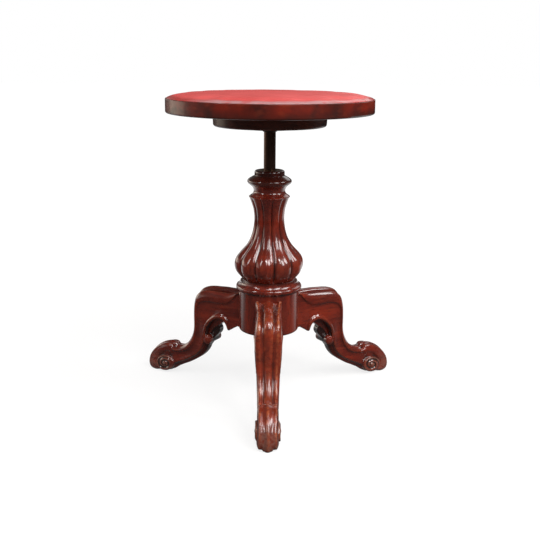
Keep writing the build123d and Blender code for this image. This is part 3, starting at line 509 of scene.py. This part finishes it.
leg = {
    "hubRadius": 51.0,
    # along the leg: outer point (radius, height), inner point, half width, middle rib's half width and rise,
    # inner edge of the side roll, groove's depth, roll's depth down the side
    "stations": (
        (47.0, 176.4, 47.0, 116.0, 21.6, 8.3, 0.0, 14.6, 3.0, 2.0),
        (53.0, 175.6, 53.5, 116.0, 21.6, 8.3, 0.8, 14.0, 4.4, 5.0),
        (60.0, 173.8, 60.5, 116.4, 21.6, 8.2, 2.6, 13.2, 5.1, 11.6),
        (68.0, 172.1, 66.8, 121.0, 21.6, 8.1, 4.2, 12.4, 5.4, 17.0),
        (76.0, 171.2, 73.0, 127.6, 21.7, 8.0, 5.0, 11.6, 5.3, 20.0),
        (86.0, 171.0, 82.0, 130.4, 21.8, 8.0, 5.2, 10.9, 5.1, 21.4),
        (98.0, 170.4, 90.5, 128.8, 21.8, 8.0, 5.0, 10.3, 4.9, 21.2),
        (110.0, 169.9, 98.5, 124.8, 21.8, 8.0, 4.8, 9.9, 4.6, 20.4),
        (121.4, 168.2, 105.5, 120.0, 21.8, 8.0, 4.5, 9.6, 4.4, 19.6),
        (131.6, 164.2, 111.2, 114.6, 21.7, 7.9, 4.0, 9.4, 4.2, 18.2),
        (138.9, 156.8, 116.2, 108.4, 21.5, 7.7, 3.4, 9.1, 4.0, 15.4),
        (142.9, 145.6, 119.8, 102.2, 21.1, 7.3, 2.9, 8.7, 3.6, 12.2),
        (144.3, 131.0, 122.0, 95.6, 20.6, 6.8, 2.5, 8.2, 3.3, 9.7),
        (144.7, 116.0, 123.2, 88.2, 20.1, 6.3, 2.2, 7.8, 3.1, 8.2),
        (145.0, 103.0, 123.9, 80.4, 19.6, 5.9, 2.0, 7.5, 3.0, 7.5),
        (146.9, 91.0, 125.0, 72.4, 19.1, 5.6, 1.9, 7.7, 3.0, 7.7),
        (151.2, 79.6, 127.8, 64.2, 18.6, 5.6, 1.9, 7.6, 3.0, 8.6),
        (158.0, 68.6, 132.8, 55.2, 18.1, 5.7, 2.0, 7.7, 3.0, 9.8),
        (167.3, 59.4, 141.0, 46.2, 17.6, 5.9, 2.1, 7.9, 3.1, 11.0),
        (178.6, 52.8, 153.0, 37.8, 17.2, 6.1, 2.2, 8.2, 3.2, 10.6),
        (188.4, 50.2, 166.6, 30.2, 16.9, 6.2, 2.2, 8.6, 3.2, 8.8),
        (196.4, 50.0, 180.0, 24.2, 16.7, 6.2, 2.0, 9.0, 3.0, 7.2),
        (203.6, 48.4, 191.0, 18.4, 16.0, 6.2, 0.6, 9.4, 2.0, 6.0),
        (210.2, 43.0, 200.4, 12.0, 14.6, 6.0, 0.0, 9.6, 1.0, 5.0),
        (218.0, 37.0, 211.0, 8.0, 12.4, 6.0, 0.0, 9.6, 1.0, 5.0),
    ),
    "ringsPerStation": 6,
    # rib under the leg: its height, how much it deepens, from where and over how far
    "keel": 4.5,
    "keelMore": 2.9,
    "keelFrom": 112.0,
    "keelOver": 10.0,
    "volute": (211.0, 17.2),      # centre of the scroll under the toe
    # round the volute: angle, crest radius, drop of the side roll, radius of its lower crease, half width,
    # inner edge of the side roll
    "toeStations": (
        (132.0, 34.0, 2.6, 24.0, 12.0, 4.6),
        (124.0, 38.8, 2.6, 25.6, 14.6, 4.8),
        (116.0, 41.8, 2.6, 26.4, 16.2, 5.2),
        (108.0, 42.5, 2.6, 25.8, 16.8, 6.4),
        (98.0, 41.6, 2.6, 23.6, 16.9, 7.8),
        (86.0, 39.4, 2.7, 21.0, 16.8, 8.6),
        (72.0, 37.4, 2.8, 19.2, 16.5, 8.6),
        (56.0, 36.8, 3.0, 18.0, 16.1, 8.5),
        (40.0, 37.4, 3.2, 17.4, 15.8, 8.4),
        (26.0, 38.8, 3.3, 17.2, 15.7, 8.2),
        (12.0, 40.8, 3.4, 17.4, 15.8, 7.8),
        (0.0, 42.6, 3.8, 18.0, 16.2, 7.4),
        (-11.0, 44.0, 4.6, 19.0, 16.7, 7.0),
        (-22.0, 44.2, 6.4, 19.2, 17.0, 6.8),
        (-34.0, 39.0, 7.6, 17.0, 16.8, 6.6),
        (-50.0, 27.0, 6.4, 13.0, 16.2, 6.4),
        (-70.0, 20.0, 4.4, 11.0, 15.2, 6.4),
        (-96.0, 17.6, 2.6, 10.0, 14.4, 6.4),
        (-130.0, 16.0, 2.4, 9.0, 14.0, 6.4),
    ),
    "ringsPerKey": 5,
    "grain": 0.89,                # size of the skin's faces
    "smoothing": 18,              # rounds
    # places the chisel left soft: middle, reach, half width, rounds of smoothing
    "blurred": (((206.0, 50.0), 15.0, 30.0, 34), ((82.0, 131.0), 13.0, 30.0, 14)),
    "hollowRounds": 70,
    "ridgeRounds": 9,
    "hoodStart": 122.0,           # degrees round the volute
    "hoodTurn": 15.0,             # how much sooner the crown starts at its middle than at its sides
    "hoodOver": 6.0,
    "hoodDrop": 3.0,
    "eyeReach": 20.8,             # half width over the two volutes
    "eyeLong": 19.4,
    "eyeHigh": 14.2,
    "eyeTilt": -13.0,
    # button in the arch; its profile from the middle out: share of its radius, share of its height
    "scrollEye": (116.6, 78.8),
    "scrollRadius": 8.1,
    "scrollReach": 20.0,
    "scrollDome": 3.4,
    "scrollSegments": 40,
    "scrollProfile": ((0.04, 1.0), (0.3, 0.99), (0.55, 0.95), (0.75, 0.86), (0.86, 0.8), (0.93, 0.84), (1.0, 0.8),
                      (1.02, 0.7)),
    "scrollLow": 0.7,
    "scrollRise": 0.3,
    # slabs cut to a side view: half width, rounding, outline
    "webHalf": 7.6,
    "webBevel": 1.6,
    "web": ((122.0, 101.0), (116.5, 98.0), (110.5, 98.0), (105.5, 101.0), (101.6, 104.0), (98.4, 103.4), (96.6, 99.6),
            (96.8, 94.6), (99.2, 90.0), (103.6, 85.4), (109.2, 78.8), (114.4, 71.4), (119.6, 64.4), (125.8, 58.0),
            (133.2, 52.2), (142.0, 46.0), (151.0, 40.4), (156.0, 42.0), (138.0, 70.0), (130.0, 92.0)),
    "liningHalf": 10.0,
    "liningBevel": 2.4,
    "lining": ((84.6, 132.0), (84.0, 121.0), (87.0, 114.6), (93.0, 109.4), (99.6, 104.4), (105.8, 98.8),
               (111.0, 92.4), (118.0, 86.0), (127.0, 90.0), (124.0, 104.0), (112.0, 120.0), (98.0, 132.0)),
    # bead round the edge of the arch: radius, height, thickness; it leans in below a height
    "beadSegments": 20,
    "beadSide": 21.6,
    "beadOut": 1.9,
    "beadLean": 0.06,
    "beadLeanBelow": 110.0,
    "bead": ((69.4, 106.0, 2.4), (70.2, 112.6, 3.4), (72.8, 119.0, 4.3), (78.6, 124.8, 4.9), (87.0, 127.0, 4.8),
             (95.6, 125.0, 3.9), (103.4, 120.2, 3.2), (110.6, 114.2, 2.8), (116.2, 106.8, 2.6), (120.2, 98.6, 2.4),
             (122.0, 90.0, 2.2), (122.0, 82.0, 2.0)),
    "pendantHalf": 20.3,
    "pendantBevel": 2.4,
    "pendant": ((47.5, 114.3), (52.0, 114.0), (61.6, 108.6), (69.0, 103.6), (72.4, 104.6), (73.4, 109.6),
                (75.0, 115.6), (79.6, 120.8), (86.0, 123.2), (92.0, 124.0), (90.0, 134.0), (60.0, 134.0),
                (47.5, 130.0)),
}
# carving on each end of the volute, in shares of its radius and mm of relief
spiral = {
    "rings": 26,
    "segments": 72,
    "middle": 0.035,
    "growth": 2.3,                # from one turn to the next
    "start": 2.2,                 # radians
    "bead": (0.66, 1.5),          # part of each turn's width, and height
    "groove": (0.34, 0.5),        # and depth
    "eyeEdge": (0.30, 0.12),      # where the eye starts and over how far it comes in
    "eye": (0.32, 2.2),
    "rimOver": 0.07,
    "setBack": 2.6,
    "rimDrop": 1.6,
}


def clamped(value):
    return min(max(value, 0.0), 1.0)


# Value of a smooth curve through evenly spaced keys, each a tuple of numbers
def curveAt(keys, place):
    last = len(keys) - 1
    index = min(int(place), last - 1)
    t = place - index
    k0, k1, k2, k3 = (keys[min(max(index + step, 0), last)] for step in (-1, 0, 1, 2))
    return [b + 0.5 * t * (c - a + t * (2 * a - 5 * b + 4 * c - d + t * (3 * (b - c) + d - a)))
            for a, b, c, d in zip(k0, k1, k2, k3)]


# Half of a section across the leg, from the rib's crest round to the middle of the underside
def shaftSection(w, rib, rise, inner, groove, band, length, keel):
    wide = w - inner
    face = length - band
    return [
        (0.0, rise), (0.3 * rib, rise - 0.15), (0.58 * rib, rise - 0.7), (0.82 * rib, rise - 1.9),
        (0.96 * rib, 0.55 * rise - 0.45 * groove),
        (rib + 0.3, -0.92 * groove), (rib + 0.25 * (inner - rib), -groove), (rib + 0.75 * (inner - rib), -groove),
        (inner + 0.08 * wide, -0.84 * groove), (inner + 0.20 * wide, -0.56 * groove),
        (inner + 0.33 * wide, -0.24 * groove), (inner + 0.45 * wide, -0.05 * groove),
        (inner + 0.56 * wide, -0.03 * band), (inner + 0.68 * wide, -0.1 * band), (inner + 0.80 * wide, -0.22 * band),
        (inner + 0.91 * wide, -0.375 * band), (w - 0.25, -0.556 * band), (w, -0.75 * band), (w - 0.35, -0.88 * band),
        (w - 1.3, -0.97 * band), (w - 2.2, -band), (w - 2.6, -band - 0.7),
        (w - 2.9, -band - 0.12 * face), (w - 2.8, -band - 0.35 * face), (w - 2.0, -band - 0.6 * face),
        (w - 1.1, -band - 0.8 * face), (w - 0.7, -band - 0.9 * face),
        (w - 0.9, -length + 2.4), (w - 1.5, -length + 1.1), (w - 2.6, -length + 0.25), (w - 4.0, -length),
        (0.68 * w, -length + 0.4), (0.58 * w, -length - 0.1 * keel), (0.48 * w, -length - 0.5 * keel),
        (0.42 * w, -length - 0.92 * keel), (0.2 * w, -length - keel), (0.0, -length - keel),
    ]


# Half of a section across the toe, from its middle ridge to the axis of the volute
def toeSection(crest, drop, crease, w, inner):
    roll = crest - drop
    side = roll - crease
    return [
        (0.0, crest), (1.5, crest - 0.15), (2.7, crest - 0.7), (3.5, crest - 1.6),
        (0.7 * inner + 0.8, crest - 2.8), (0.8 * inner + 0.6, crest - 3.3), (0.9 * inner + 0.5, crest - 3.4),
        (inner + 0.4, crest - 3.0), (inner + 1.0, roll - 0.1), (inner + 1.9, roll + 0.5),
        (0.5 * (inner + w), roll + 0.2), (0.25 * inner + 0.75 * w, roll - 0.8),
        (w - 2.0, roll - 0.17 * side), (w - 1.2, roll - 0.3 * side), (w - 0.6, roll - 0.45 * side),
        (w - 0.2, roll - 0.6 * side), (w, roll - 0.72 * side), (w - 0.2, roll - 0.8 * side),
        (w - 0.9, roll - 0.88 * side), (w - 1.9, crease + 0.05 * side), (w - 2.5, crease - 0.2),
        (w - 2.7, crease - 1.6), (w - 2.7, 0.6 * crease), (w - 2.7, 4.0), (0.0, 4.0),
    ]


# Closed mesh over rings of points, each ring already closed and all of one length; a tube's last ring meets its first
def ringMesh(rings, tube=False):
    shape = bmesh.new()
    rows = [[shape.verts.new(Vector(point) * mm) for point in ring] for ring in rings]
    count = len(rings[0])
    for near, far in zip(rows, rows[1:] + rows[:1] if tube else rows[1:]):
        for i in range(count):
            j = (i + 1) % count
            shape.faces.new((near[i], near[j], far[j], far[i]))
    if not tube:
        shape.faces.new(rows[0][::-1])
        shape.faces.new(rows[-1])
    bmesh.ops.recalc_face_normals(shape, faces=shape.faces)
    return shape


def fullCircle(count):
    return [2.0 * math.pi * i / count for i in range(count)]


def wholeRing(half):
    return half + [(-y, h) for y, h in half[-2:0:-1]]


def shaftRings():
    rings = []
    stations = leg["stations"]
    steps = (len(stations) - 1) * leg["ringsPerStation"]
    for step in range(steps + 1):
        values = curveAt(stations, step / leg["ringsPerStation"])
        outer, inner = Vector(values[0:2]), Vector(values[2:4])
        up = (outer - inner).normalized()
        keel = leg["keel"] + leg["keelMore"] * clamped((inner.x - leg["keelFrom"]) / leg["keelOver"])
        half = shaftSection(*values[4:], (outer - inner).length, keel)
        ring = [(outer.x + h * up.x, y, outer.y + h * up.y) for y, h in wholeRing(half)]
        rings.append([(max(x, math.sqrt(leg["hubRadius"] ** 2 - y * y)), y, z) for x, y, z in ring])
    return rings


def toeRings():
    rings = []
    stations = leg["toeStations"]
    centre = leg["volute"]
    for step in range((len(stations) - 1) * leg["ringsPerKey"] + 1):
        angle, crest, drop, crease, w, inner = curveAt(stations, step / leg["ringsPerKey"])
        ring = []
        for y, reach in wholeRing(toeSection(crest, drop, crease, w, inner)):
            start = leg["hoodStart"] - leg["hoodTurn"] * (abs(y) / w) ** 0.8
            under = clamped((angle - start) / leg["hoodOver"])
            if reach > crease:
                reach -= leg["hoodDrop"] * under * under * (3.0 - 2.0 * under)
            turn = math.radians(angle)
            ring.append((centre[0] + reach * math.cos(turn), y, centre[1] + reach * math.sin(turn)))
        rings.append(ring)
    return rings


# Oval disc through the toe, with a spiral bead and an eye carved on each end
def voluteRings():
    tilt = math.radians(leg["eyeTilt"])
    shrink = math.log(spiral["growth"]) / (2.0 * math.pi)
    beadPart, beadRise = spiral["bead"]
    groovePart, grooveDepth = spiral["groove"]
    eyeStart, eyeOver = spiral["eyeEdge"]
    eyeRadius, eyeRise = spiral["eye"]

    def point(share, turn, side):
        x, z = leg["eyeLong"] * share * math.cos(turn), leg["eyeHigh"] * share * math.sin(turn)
        t = (-math.log(max(share, 0.02)) / shrink + side * (turn + spiral["start"])) / (2.0 * math.pi) % 1.0
        if t < beadPart:
            bead = beadRise * math.sin(math.pi * t / beadPart) ** 0.7
        else:
            bead = -grooveDepth * math.sin(math.pi * (t - beadPart) / groovePart)
        eye = clamped((eyeStart - share) / eyeOver)
        relief = bead * (1.0 - eye) + eye * (eyeRise * math.sqrt(max(1.0 - (share / eyeRadius) ** 2, 0.0)))
        edge = clamped((1.0 - share) / spiral["rimOver"])
        reach = leg["eyeReach"] - spiral["setBack"] + relief * edge - spiral["rimDrop"] * (1.0 - edge) ** 2
        return (leg["volute"][0] + x * math.cos(tilt) - z * math.sin(tilt), side * reach,
                leg["volute"][1] + x * math.sin(tilt) + z * math.cos(tilt))

    across, segments, middle = spiral["rings"], spiral["segments"], spiral["middle"]
    shares = [middle + (1.0 - middle) * (i / (across - 1)) ** 0.85 for i in range(across)]
    turns = fullCircle(segments)
    return [[point(share, turn, -1) for turn in turns] for share in shares] + \
           [[point(share, turn, 1) for turn in turns] for share in reversed(shares)]


# Button that ends the scroll inside the arch, domed at both ends
def scrollRings():
    rings = []
    reach, dome = leg["scrollReach"], leg["scrollDome"]
    half = [(leg["scrollRadius"] * share, reach - dome + dome * (high - leg["scrollLow"]) / leg["scrollRise"])
            for share, high in leg["scrollProfile"]]
    for r, y in [(r, -y) for r, y in half] + [(r, y) for r, y in reversed(half)]:
        rings.append([(leg["scrollEye"][0] + r * math.cos(a), y, leg["scrollEye"][1] + r * math.sin(a))
                      for a in fullCircle(leg["scrollSegments"])])
    return rings


# Bead that runs along each side of the leg round the arch
def beadRings(side):
    rings = []
    keys, fine = leg["bead"], leg["ringsPerKey"]
    for step in range((len(keys) - 1) * fine + 1):
        x, z, thick = curveAt(keys, step / fine)
        ahead = curveAt(keys, min(step / fine + 0.05, len(keys) - 1))
        behind = curveAt(keys, max(step / fine - 0.05, 0))
        along = Vector((ahead[0] - behind[0], ahead[1] - behind[1])).normalized()
        middle = side * (leg["beadSide"] - leg["beadOut"] - leg["beadLean"] * max(leg["beadLeanBelow"] - z, 0.0))
        rings.append([(x - along.y * thick * math.cos(a), middle + thick * math.sin(a),
                       z + along.x * thick * math.cos(a)) for a in fullCircle(leg["beadSegments"])])
    return rings


# Slab cut to a side view through smooth points, with rounded edges
def roundedSlab(outline, half, bevel):
    keys = list(outline) + list(outline[:3])
    dense = [curveAt([keys[-4]] + keys, 1 + i / 4) for i in range(4 * len(outline))]
    middle = Vector((sum(p[0] for p in dense), sum(p[1] for p in dense))) / len(dense)
    shape = bmesh.new()
    verts = [shape.verts.new(Vector((x, -half, z)) * mm) for x, z in dense]
    face = shape.faces.new(verts)
    lifted = bmesh.ops.extrude_face_region(shape, geom=[face])
    moved = [item for item in lifted["geom"] if isinstance(item, bmesh.types.BMVert)]
    bmesh.ops.translate(shape, verts=moved, vec=(0.0, 2.0 * half * mm, 0.0))
    bmesh.ops.recalc_face_normals(shape, faces=shape.faces)
    rims = [edge for edge in shape.edges if abs(edge.verts[0].co.y - edge.verts[1].co.y) < 1e-6]
    bmesh.ops.bevel(shape, geom=rims, offset=bevel * mm, segments=3, profile=0.5, affect="EDGES")
    return shape


def meshObject(name, shape):
    mesh = bpy.data.meshes.new(name)
    shape.to_mesh(mesh)
    shape.free()
    piece = bpy.data.objects.new(name, mesh)
    scene.collection.objects.link(piece)
    return piece


# Joins shapes into one object
def joined(name, shapes):
    pieces = [meshObject("cut", shape) for shape in shapes]
    bpy.ops.object.select_all(action="DESELECT")
    for piece in pieces:
        piece.select_set(True)
    bpy.context.view_layer.objects.active = pieces[0]
    if len(pieces) > 1:
        bpy.ops.object.join()
    whole = bpy.context.object
    whole.name = name
    return whole


def meshArrays(mesh):
    places = numpy.empty(len(mesh.vertices) * 3)
    mesh.vertices.foreach_get("co", places)
    ends = numpy.empty(len(mesh.edges) * 2, dtype=numpy.int64)
    mesh.edges.foreach_get("vertices", ends)
    return places.reshape(-1, 3), ends.reshape(-1, 2)


# Each point of a mesh moved a share of the way to the middle of its neighbours
def relaxed(places, ends, share):
    count = len(places)
    neighbours = numpy.bincount(ends.ravel(), minlength=count)
    middle = numpy.empty_like(places)
    for axis in range(3):
        middle[:, axis] = (numpy.bincount(ends[:, 0], places[ends[:, 1], axis], count)
                           + numpy.bincount(ends[:, 1], places[ends[:, 0], axis], count)) / neighbours
    return places + share * (middle - places)


def smoothSkin(mesh, rounds, blurred):
    places, ends = meshArrays(mesh)
    for turn in range(rounds):
        places = relaxed(relaxed(places, ends, 0.5), ends, -0.52)
    for middle, reach, widest, turns in blurred:
        away = numpy.linalg.norm((places[:, (0, 2)] - numpy.array(middle) * mm) / (reach * mm), axis=1)
        share = numpy.clip(1.5 - 1.5 * away, 0.0, 1.0) * (numpy.abs(places[:, 1]) < widest * mm)
        for turn in range(turns):
            places += share[:, None] * (relaxed(places, ends, 0.6) - places)
    mesh.vertices.foreach_set("co", places.ravel())
    mesh.update()


# How far each point lies in a hollow, in metres, and how far it stands up on an edge
def markRelief(mesh, hollowRounds, ridgeRounds):
    places, ends = meshArrays(mesh)
    normals = numpy.empty(len(places) * 3)
    mesh.vertex_normals.foreach_get("vector", normals)
    normals = normals.reshape(-1, 3)
    soft = places
    for turn in range(max(hollowRounds, ridgeRounds)):
        soft = relaxed(soft, ends, 1.0)
        if turn + 1 == ridgeRounds:
            ridge = ((places - soft) * normals).sum(axis=1)
        if turn + 1 == hollowRounds:
            hollow = ((soft - places) * normals).sum(axis=1)
    for name, values in (("hollow", hollow), ("ridge", ridge)):
        mesh.attributes.new(name, "FLOAT", "POINT").data.foreach_set("value", values)


# One closed skin over overlapping shapes, cut flat where it stands on the floor
def fuse(name, shapes, grain, smoothing, blurred):
    whole = joined(name, shapes)
    skin = whole.modifiers.new("skin", "REMESH")
    skin.mode = "VOXEL"
    skin.voxel_size = grain * mm
    skin.use_smooth_shade = True
    bpy.ops.object.modifier_apply(modifier=skin.name)
    smoothSkin(whole.data, smoothing, blurred)
    bpy.ops.object.mode_set(mode="EDIT")
    bpy.ops.mesh.select_all(action="SELECT")
    bpy.ops.mesh.bisect(plane_co=(0.0, 0.0, 0.0), plane_no=(0.0, 0.0, 1.0), use_fill=True, clear_inner=True)
    bpy.ops.mesh.select_all(action="SELECT")
    bpy.ops.mesh.remove_doubles(threshold=0.02 * mm)
    bpy.ops.mesh.normals_make_consistent(inside=False)
    bpy.ops.object.mode_set(mode="OBJECT")
    # doubled faces go here
    whole.data.validate()
    return whole


legShapes = [ringMesh(rings) for rings in (shaftRings(), toeRings(), voluteRings(), scrollRings(),
                                           beadRings(1.0), beadRings(-1.0))]
legShapes += [roundedSlab(leg[part], leg[part + "Half"], leg[part + "Bevel"])
              for part in ("web", "lining", "pendant")]
legMaster = fuse("leg_master", legShapes, leg["grain"], leg["smoothing"], leg["blurred"])
markRelief(legMaster.data, leg["hollowRounds"], leg["ridgeRounds"])
localPlaces = meshArrays(legMaster.data)[0]
legMaster.data.attributes.new("legPlace", "FLOAT_VECTOR", "POINT").data.foreach_set("vector", localPlaces.ravel())


def ridePiece(piece, nodes, body):
    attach(piece, body)
    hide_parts(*nodes)


for node, angle in (("leg_front", -90.0), ("leg_right", 30.0), ("leg_left", 150.0)):
    carved = legMaster.copy()
    carved.data = legMaster.data.copy()
    carved.name = node + "_carved"
    scene.collection.objects.link(carved)
    carved.data.transform(Matrix.Rotation(math.radians(angle), 4, "Z"))
    carved.data.materials.clear()
    # the front leg takes the lighter copy, painted light
    carved.data.materials.append(wood["mahoganyFrontLegLit" if node == "leg_front" else "mahoganyLegs"])
    ridePiece(carved, (node,), "base")
print("legs carved:", len(legMaster.data.polygons), "faces each")
bpy.data.objects.remove(legMaster)

# Carved column

column = {
    "lobes": 10,
    "segments": 320,
    "front": -98.0,               # direction of the nearest lobe's crest, in degrees
    # height, radius at a lobe's crest, depth of the grooves, how square the lobe's section is
    "carved": (
        (204.0, 43.6, 2.0, 2.0), (207.2, 46.8, 3.4, 2.0), (211.0, 50.0, 4.8, 2.0), (215.4, 53.7, 6.0, 2.0),
        (220.0, 56.6, 6.8, 2.1), (225.4, 58.3, 7.2, 2.1), (231.0, 58.8, 7.2, 2.1), (236.6, 57.9, 7.0, 2.1),
        (242.1, 55.6, 6.7, 2.2), (247.1, 52.0, 6.3, 2.3), (252.0, 47.6, 5.9, 2.4), (257.4, 42.6, 5.4, 2.5),
        (263.0, 38.0, 4.9, 2.6), (269.4, 34.1, 4.4, 2.8), (275.9, 31.0, 3.9, 3.0), (283.4, 28.5, 3.5, 3.2),
        (291.0, 26.8, 3.3, 3.2), (299.0, 25.7, 3.2, 3.2), (307.0, 25.2, 3.2, 3.2), (315.5, 25.7, 3.2, 3.0),
        (324.0, 26.9, 3.2, 2.9), (330.0, 28.7, 3.1, 2.8), (336.0, 30.7, 2.7, 2.6), (340.0, 32.3, 2.1, 2.4),
        (343.4, 33.6, 1.0, 2.2),
    ),
    "ringsPerStation": 5,
    "sharpFrom": 50.0,            # degrees between faces that keeps an edge sharp
    "hollowRounds": 40,
    "ridgeRounds": 6,
    # turned mouldings above the carving: radius, height
    "mouldings": (
        (34.2, 344.0), (34.3, 344.6), (34.0, 345.1), (32.6, 346.2), (31.0, 347.3), (29.6, 348.2), (28.6, 349.2),
        (27.2, 350.8), (26.4, 352.6), (26.2, 354.4), (26.6, 356.4), (27.6, 358.8), (29.2, 361.2), (31.0, 363.0),
        (32.6, 364.2), (32.9, 364.9), (33.6, 365.2), (35.2, 366.2), (36.4, 368.0), (36.9, 370.0), (36.6, 371.8),
        (35.6, 373.2), (33.9, 374.6),
        (31.4, 376.2), (28.6, 377.8), (26.2, 379.0), (25.2, 379.7), (25.0, 380.4), (25.0, 383.0), (25.0, 385.0),
        (24.7, 386.3), (24.0, 387.4), (22.9, 388.1), (21.6, 388.4),
    ),
    # bore for the bush, the spindle and the nut, and the tenon in the hub
    "bore": (
        (17.9, 388.4), (17.6, 388.1), (17.6, 385.3), (13.1, 385.3), (13.1, 363.3), (11.0, 363.3), (11.0, 264.1),
        (14.1, 264.1), (14.1, 236.0), (20.5, 236.0), (20.5, 114.1), (30.0, 114.1), (30.0, 204.0), (42.4, 203.9),
    ),
}


def lobedRing(height, crest, depth, power):
    ring = []
    for angle in fullCircle(column["segments"]):
        u = abs((angle * column["lobes"] / math.pi + 1.0) % 2.0 - 1.0)
        cut = depth * (0.93 * u ** power + 0.07 * math.exp(-((1.0 - u) / 0.12) ** 2))
        turn = angle + math.radians(column["front"])
        ring.append(((crest - cut) * math.cos(turn), (crest - cut) * math.sin(turn), height))
    return ring


def columnRings():
    stations = column["carved"]
    steps = (len(stations) - 1) * column["ringsPerStation"]
    rings = [lobedRing(*curveAt(stations, step / column["ringsPerStation"])) for step in range(steps + 1)]
    fine = column["mouldings"]
    dense = [curveAt(fine, step / 3.0) for step in range(3 * (len(fine) - 1) + 1)]
    return rings + [lobedRing(height, radius, 0.0, 1.0) for radius, height in dense + list(column["bore"])]


carvedColumn = joined("column_carved", (ringMesh(columnRings(), tube=True),))
bpy.ops.object.shade_smooth_by_angle(angle=math.radians(column["sharpFrom"]))
markRelief(carvedColumn.data, column["hollowRounds"], column["ridgeRounds"])
carvedColumn.data.materials.append(wood["mahoganyColumn"])
ridePiece(carvedColumn, ("column",), "base")
print("column carved:", len(carvedColumn.data.polygons), "faces")

# Leather cushion

cushion = {
    "steps": 144,
    # from the middle of the crown over the edge to the middle of the underside: radius, height
    "outline": (
        (0.0, 513.4), (18.0, 513.38), (36.0, 513.3), (54.0, 513.15), (72.0, 512.9), (90.0, 512.6), (106.0, 512.3),
        (120.0, 511.9), (132.0, 511.6), (142.0, 511.2), (150.0, 510.9), (155.0, 510.6), (158.6, 510.2),
        (161.6, 509.6), (164.2, 508.7), (166.2, 507.6), (167.6, 506.5), (168.3, 505.6), (168.2, 505.15),
        (166.9, 505.05), (166.5, 504.6),
        (166.4, 503.6), (166.4, 502.6), (152.0, 502.45), (137.6, 502.4),
        (137.4, 497.0), (137.2, 492.6), (100.0, 492.5), (50.0, 492.5), (0.0, 492.5),
    ),
    "pinnedBelow": 505.2,
    "cloth": {"use_pressure": True, "uniform_pressure_force": 4.0, "tension_stiffness": 40.0,
              "bending_stiffness": 8.0},
    "frames": 20,
    "swellCap": 1.6,
}


# Turned piece: the corners of a flat ring are set to an outline, which is spun round the axis
def spunPiece(name, outline, steps):
    bpy.ops.mesh.primitive_circle_add(vertices=len(outline), radius=0.1)
    piece = bpy.context.object
    piece.name = name
    for vertex, (radius, height) in zip(piece.data.vertices, outline):
        vertex.co = (radius * mm, 0.0, height * mm)
    closing = [edge for edge in piece.data.edges if set(edge.vertices) == {0, len(outline) - 1}]
    bpy.ops.object.mode_set(mode="EDIT")
    sketch = bmesh.from_edit_mesh(piece.data)
    sketch.edges.ensure_lookup_table()
    if outline[0][0] == 0.0:
        bmesh.ops.delete(sketch, geom=[sketch.edges[closing[0].index]], context="EDGES")
    bmesh.update_edit_mesh(piece.data)
    bpy.ops.mesh.select_all(action="SELECT")
    bpy.ops.mesh.spin(steps=steps, angle=2.0 * math.pi, center=(0.0, 0.0, 0.0), axis=(0.0, 0.0, 1.0))
    bpy.ops.mesh.select_all(action="SELECT")
    bpy.ops.mesh.remove_doubles(threshold=0.01 * mm)
    bpy.ops.mesh.normals_make_consistent(inside=False)
    bpy.ops.object.mode_set(mode="OBJECT")
    return piece


pad = spunPiece("seat_cushion", cushion["outline"], cushion["steps"])
before = meshArrays(pad.data)[0]
held = pad.vertex_groups.new(name="tacked")
held.add([v.index for v in pad.data.vertices if v.co.z < cushion["pinnedBelow"] * mm], 1.0, "REPLACE")
cloth = pad.modifiers.new("stuffing", "CLOTH")
cloth.settings.vertex_group_mass = held.name
cloth.settings.effector_weights.gravity = 0.0
for name, value in cushion["cloth"].items():
    setattr(cloth.settings, name, value)
for number in range(1, cushion["frames"] + 1):
    scene.frame_set(number)
bpy.context.view_layer.objects.active = pad
bpy.ops.object.modifier_apply(modifier=cloth.name)
moved = meshArrays(pad.data)[0] - before
length = numpy.linalg.norm(moved, axis=1, keepdims=True)
capped = before + moved * numpy.minimum(1.0, cushion["swellCap"] * mm / numpy.maximum(length, 1e-9))
print("cushion swelled by up to", round(float(length.max()) / mm, 2), "mm before the cap")
pad.data.vertices.foreach_set("co", capped.ravel())
pad.data.update()
scene.frame_set(1)
finer = pad.modifiers.new("finer", "SUBSURF")
finer.levels = 1
finer.render_levels = 1
bpy.context.view_layer.objects.active = pad
bpy.ops.object.modifier_apply(modifier=finer.name)
bpy.ops.object.select_all(action="DESELECT")
pad.select_set(True)
bpy.ops.object.shade_smooth()
pad.data.materials.append(redLeather)
ridePiece(pad, ("seat_cover", "seat_padding"), "seat")
print("cushion stuffed")
